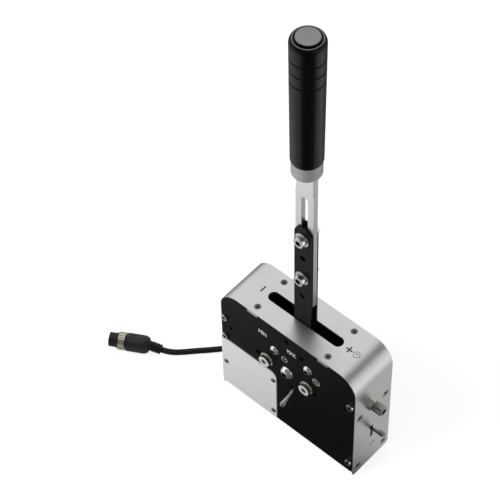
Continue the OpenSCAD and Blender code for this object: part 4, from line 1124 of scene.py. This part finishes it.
class HANDBRAKE_OT_stage(bpy.types.Operator):
    """Sets the pale floor, the lamps and the sky"""

    bl_idname = "handbrake.stage"
    bl_label = "Stage"

    def execute(self, context):
        stage = context.scene.handbrake_stage
        self.floor(stage.floor_w)
        self.lamp("key_lamp", at=(-0.9, -1.5, 1.7), size=1.3, power=stage.key_power)
        self.lamp("rim_lamp", at=(-0.6, 1.5, 1.1), size=1.0, power=stage.rim_power)
        self.sky(context.scene, stage.sky)
        context.scene.view_settings.view_transform = "Standard"
        return {"FINISHED"}

    def floor(self, width):
        """A wide floor, white to the camera, which keeps the object's shadow."""
        under, floor_t = -0.6 * MM, 0.5 * MM
        outline = [Vector((x, y, under)) for x, y in rectangle(0, 0, width, width)]
        mesh = flat_mesh("floor", [outline], UP * floor_t)
        tree, surface = new_material("floor_white")
        seen, mirrored = ray_masks(tree)
        reflected = product(tree, mirrored, self.floor_light(tree))
        paint = blend_colour(tree, seen, (0.75, 0.75, 0.75), (0.3, 0.3, 0.3))
        fill(tree, surface, {
            "Base Color": blend_colour(tree, mirrored, paint, (0.1, 0.1, 0.1)),
            "Emission Strength": value_of(tree, "MULTIPLY_ADD", seen, 0.80, reflected),
            "Emission Color": (1, 1, 1, 1), "Roughness": 0.9, "Specular IOR Level": 0.0,
        })
        obj = new_piece("floor", mesh, "floor_white")

    def floor_light(self, tree):
        """The floor's light in polished pieces, by metres to the box's left and to the camera."""
        aside = vector_of(tree, "DOT_PRODUCT", place(tree), TO_LEFT, out="Value")
        toward = vector_of(tree, "DOT_PRODUCT", place(tree), TO_CAMERA, out="Value")
        left = spread(tree, aside, 0.03, 0.26, 0.0, 0.80)
        right = value_of(
            tree, "ADD", spread(tree, aside, -0.02, -0.06, 0.0, 0.52),
            spread(tree, aside, -0.18, -0.45, 0.0, 0.66),
        )
        right = product(tree, right, spread(tree, toward, -0.03, -0.16, 1.0, 0.30))
        off = product(tree, value_of(tree, "ABSOLUTE", aside), 0.9)
        before = value_of(tree, "SUBTRACT", toward, off)
        return product(
            tree, value_of(tree, "ADD", left, right),
            spread(tree, before, -0.02, 0.08, 1.0, 0.05),
            spread(tree, toward, -0.05, -0.25, 1.0, 0.45),
        )

    def lamp(self, name, at, size, power):
        """A square soft lamp turned to the lever, which polished pieces don't mirror."""
        lever = Vector((0, 0, 0.15))
        light = bpy.data.lights.new(name, "AREA")
        light.size = size
        light.energy = power
        obj = new_object(name, light)
        obj.location = at
        obj.rotation_mode = "QUATERNION"
        obj.rotation_quaternion = (lever - Vector(at)).to_track_quat("-Z", "Y")
        obj.visible_glossy = False

    def sky(self, scene, matt):
        """White to the camera, and a pale tent with two darker panels to polished pieces."""
        scene.world = bpy.data.worlds.new("studio_sky")
        scene.world.use_nodes = True
        tree = scene.world.node_tree
        background = tree.nodes["Background"]
        seen, mirrored = ray_masks(tree)
        way = add_node(tree, "SeparateXYZ", {0: add_node(tree, "TexCoord")["Generated"]})
        side_panel = product(
            tree, spread(tree, way["Z"], 0.36, 0.64), spread(tree, way["X"], 0.05, 0.42)
        )
        front_panel = product(
            tree, spread(tree, way["Y"], -0.25, -0.55), spread(tree, way["X"], -0.60, -0.40)
        )
        panels = value_of(tree, "MAXIMUM", side_panel, front_panel)
        tent = spread(tree, panels, 0.0, 1.0, 1.03, 0.17)
        rest = product(tree, value_of(tree, "SUBTRACT", 1.0, mirrored), matt)
        level = value_of(tree, "MULTIPLY_ADD", mirrored, tent, rest)
        strength = add_node(tree, "Mix", {0: seen, 2: level, 3: 1.0}, data_type="FLOAT")[0]
        fill(tree, background, {"Color": (1, 1, 1, 1), "Strength": strength})


GROUPS = {
    "handbrake_sizes": HandbrakeSizes,
    "handbrake_colours": HandbrakeColours,
    "handbrake_stage": HandbrakeStage,
}
STEPS = (
    HANDBRAKE_OT_camera, HANDBRAKE_OT_finishes, HANDBRAKE_OT_cable, HANDBRAKE_OT_box,
    HANDBRAKE_OT_screws, HANDBRAKE_OT_stops, HANDBRAKE_OT_adjuster, HANDBRAKE_OT_springs,
    HANDBRAKE_OT_lever, HANDBRAKE_OT_handle, HANDBRAKE_OT_switches, HANDBRAKE_OT_marks,
    HANDBRAKE_OT_stage,
)


class VIEW3D_PT_handbrake(bpy.types.Panel):
    """The handbrake's sizes, colours and steps"""

    bl_label = "Handbrake"
    bl_idname = "VIEW3D_PT_handbrake"
    bl_space_type = "VIEW_3D"
    bl_region_type = "UI"
    bl_category = "Handbrake"

    def draw(self, context):
        layout = self.layout
        for group in GROUPS:
            values = getattr(context.scene, group)
            box = layout.box()
            for name in values.__annotations__:
                box.prop(values, name)
        for step in STEPS:
            layout.operator(step.bl_idname)


CLASSES = (*GROUPS.values(), *STEPS, VIEW3D_PT_handbrake)


def register():
    """Registers the classes and the scene's properties."""
    for made in CLASSES:
        bpy.utils.register_class(made)
    for name, group in GROUPS.items():
        setattr(bpy.types.Scene, name, PointerProperty(type=group))


def unregister():
    """Takes the classes and the scene's properties away again."""
    for name in GROUPS:
        delattr(bpy.types.Scene, name)
    for made in reversed(CLASSES):
        bpy.utils.unregister_class(made)


def main():
    """Builds the whole scene in order."""
    register()
    for step in STEPS:
        group, name = step.bl_idname.split(".")
        getattr(getattr(bpy.ops, group), name)()


if __name__ == "__main__":
    main()
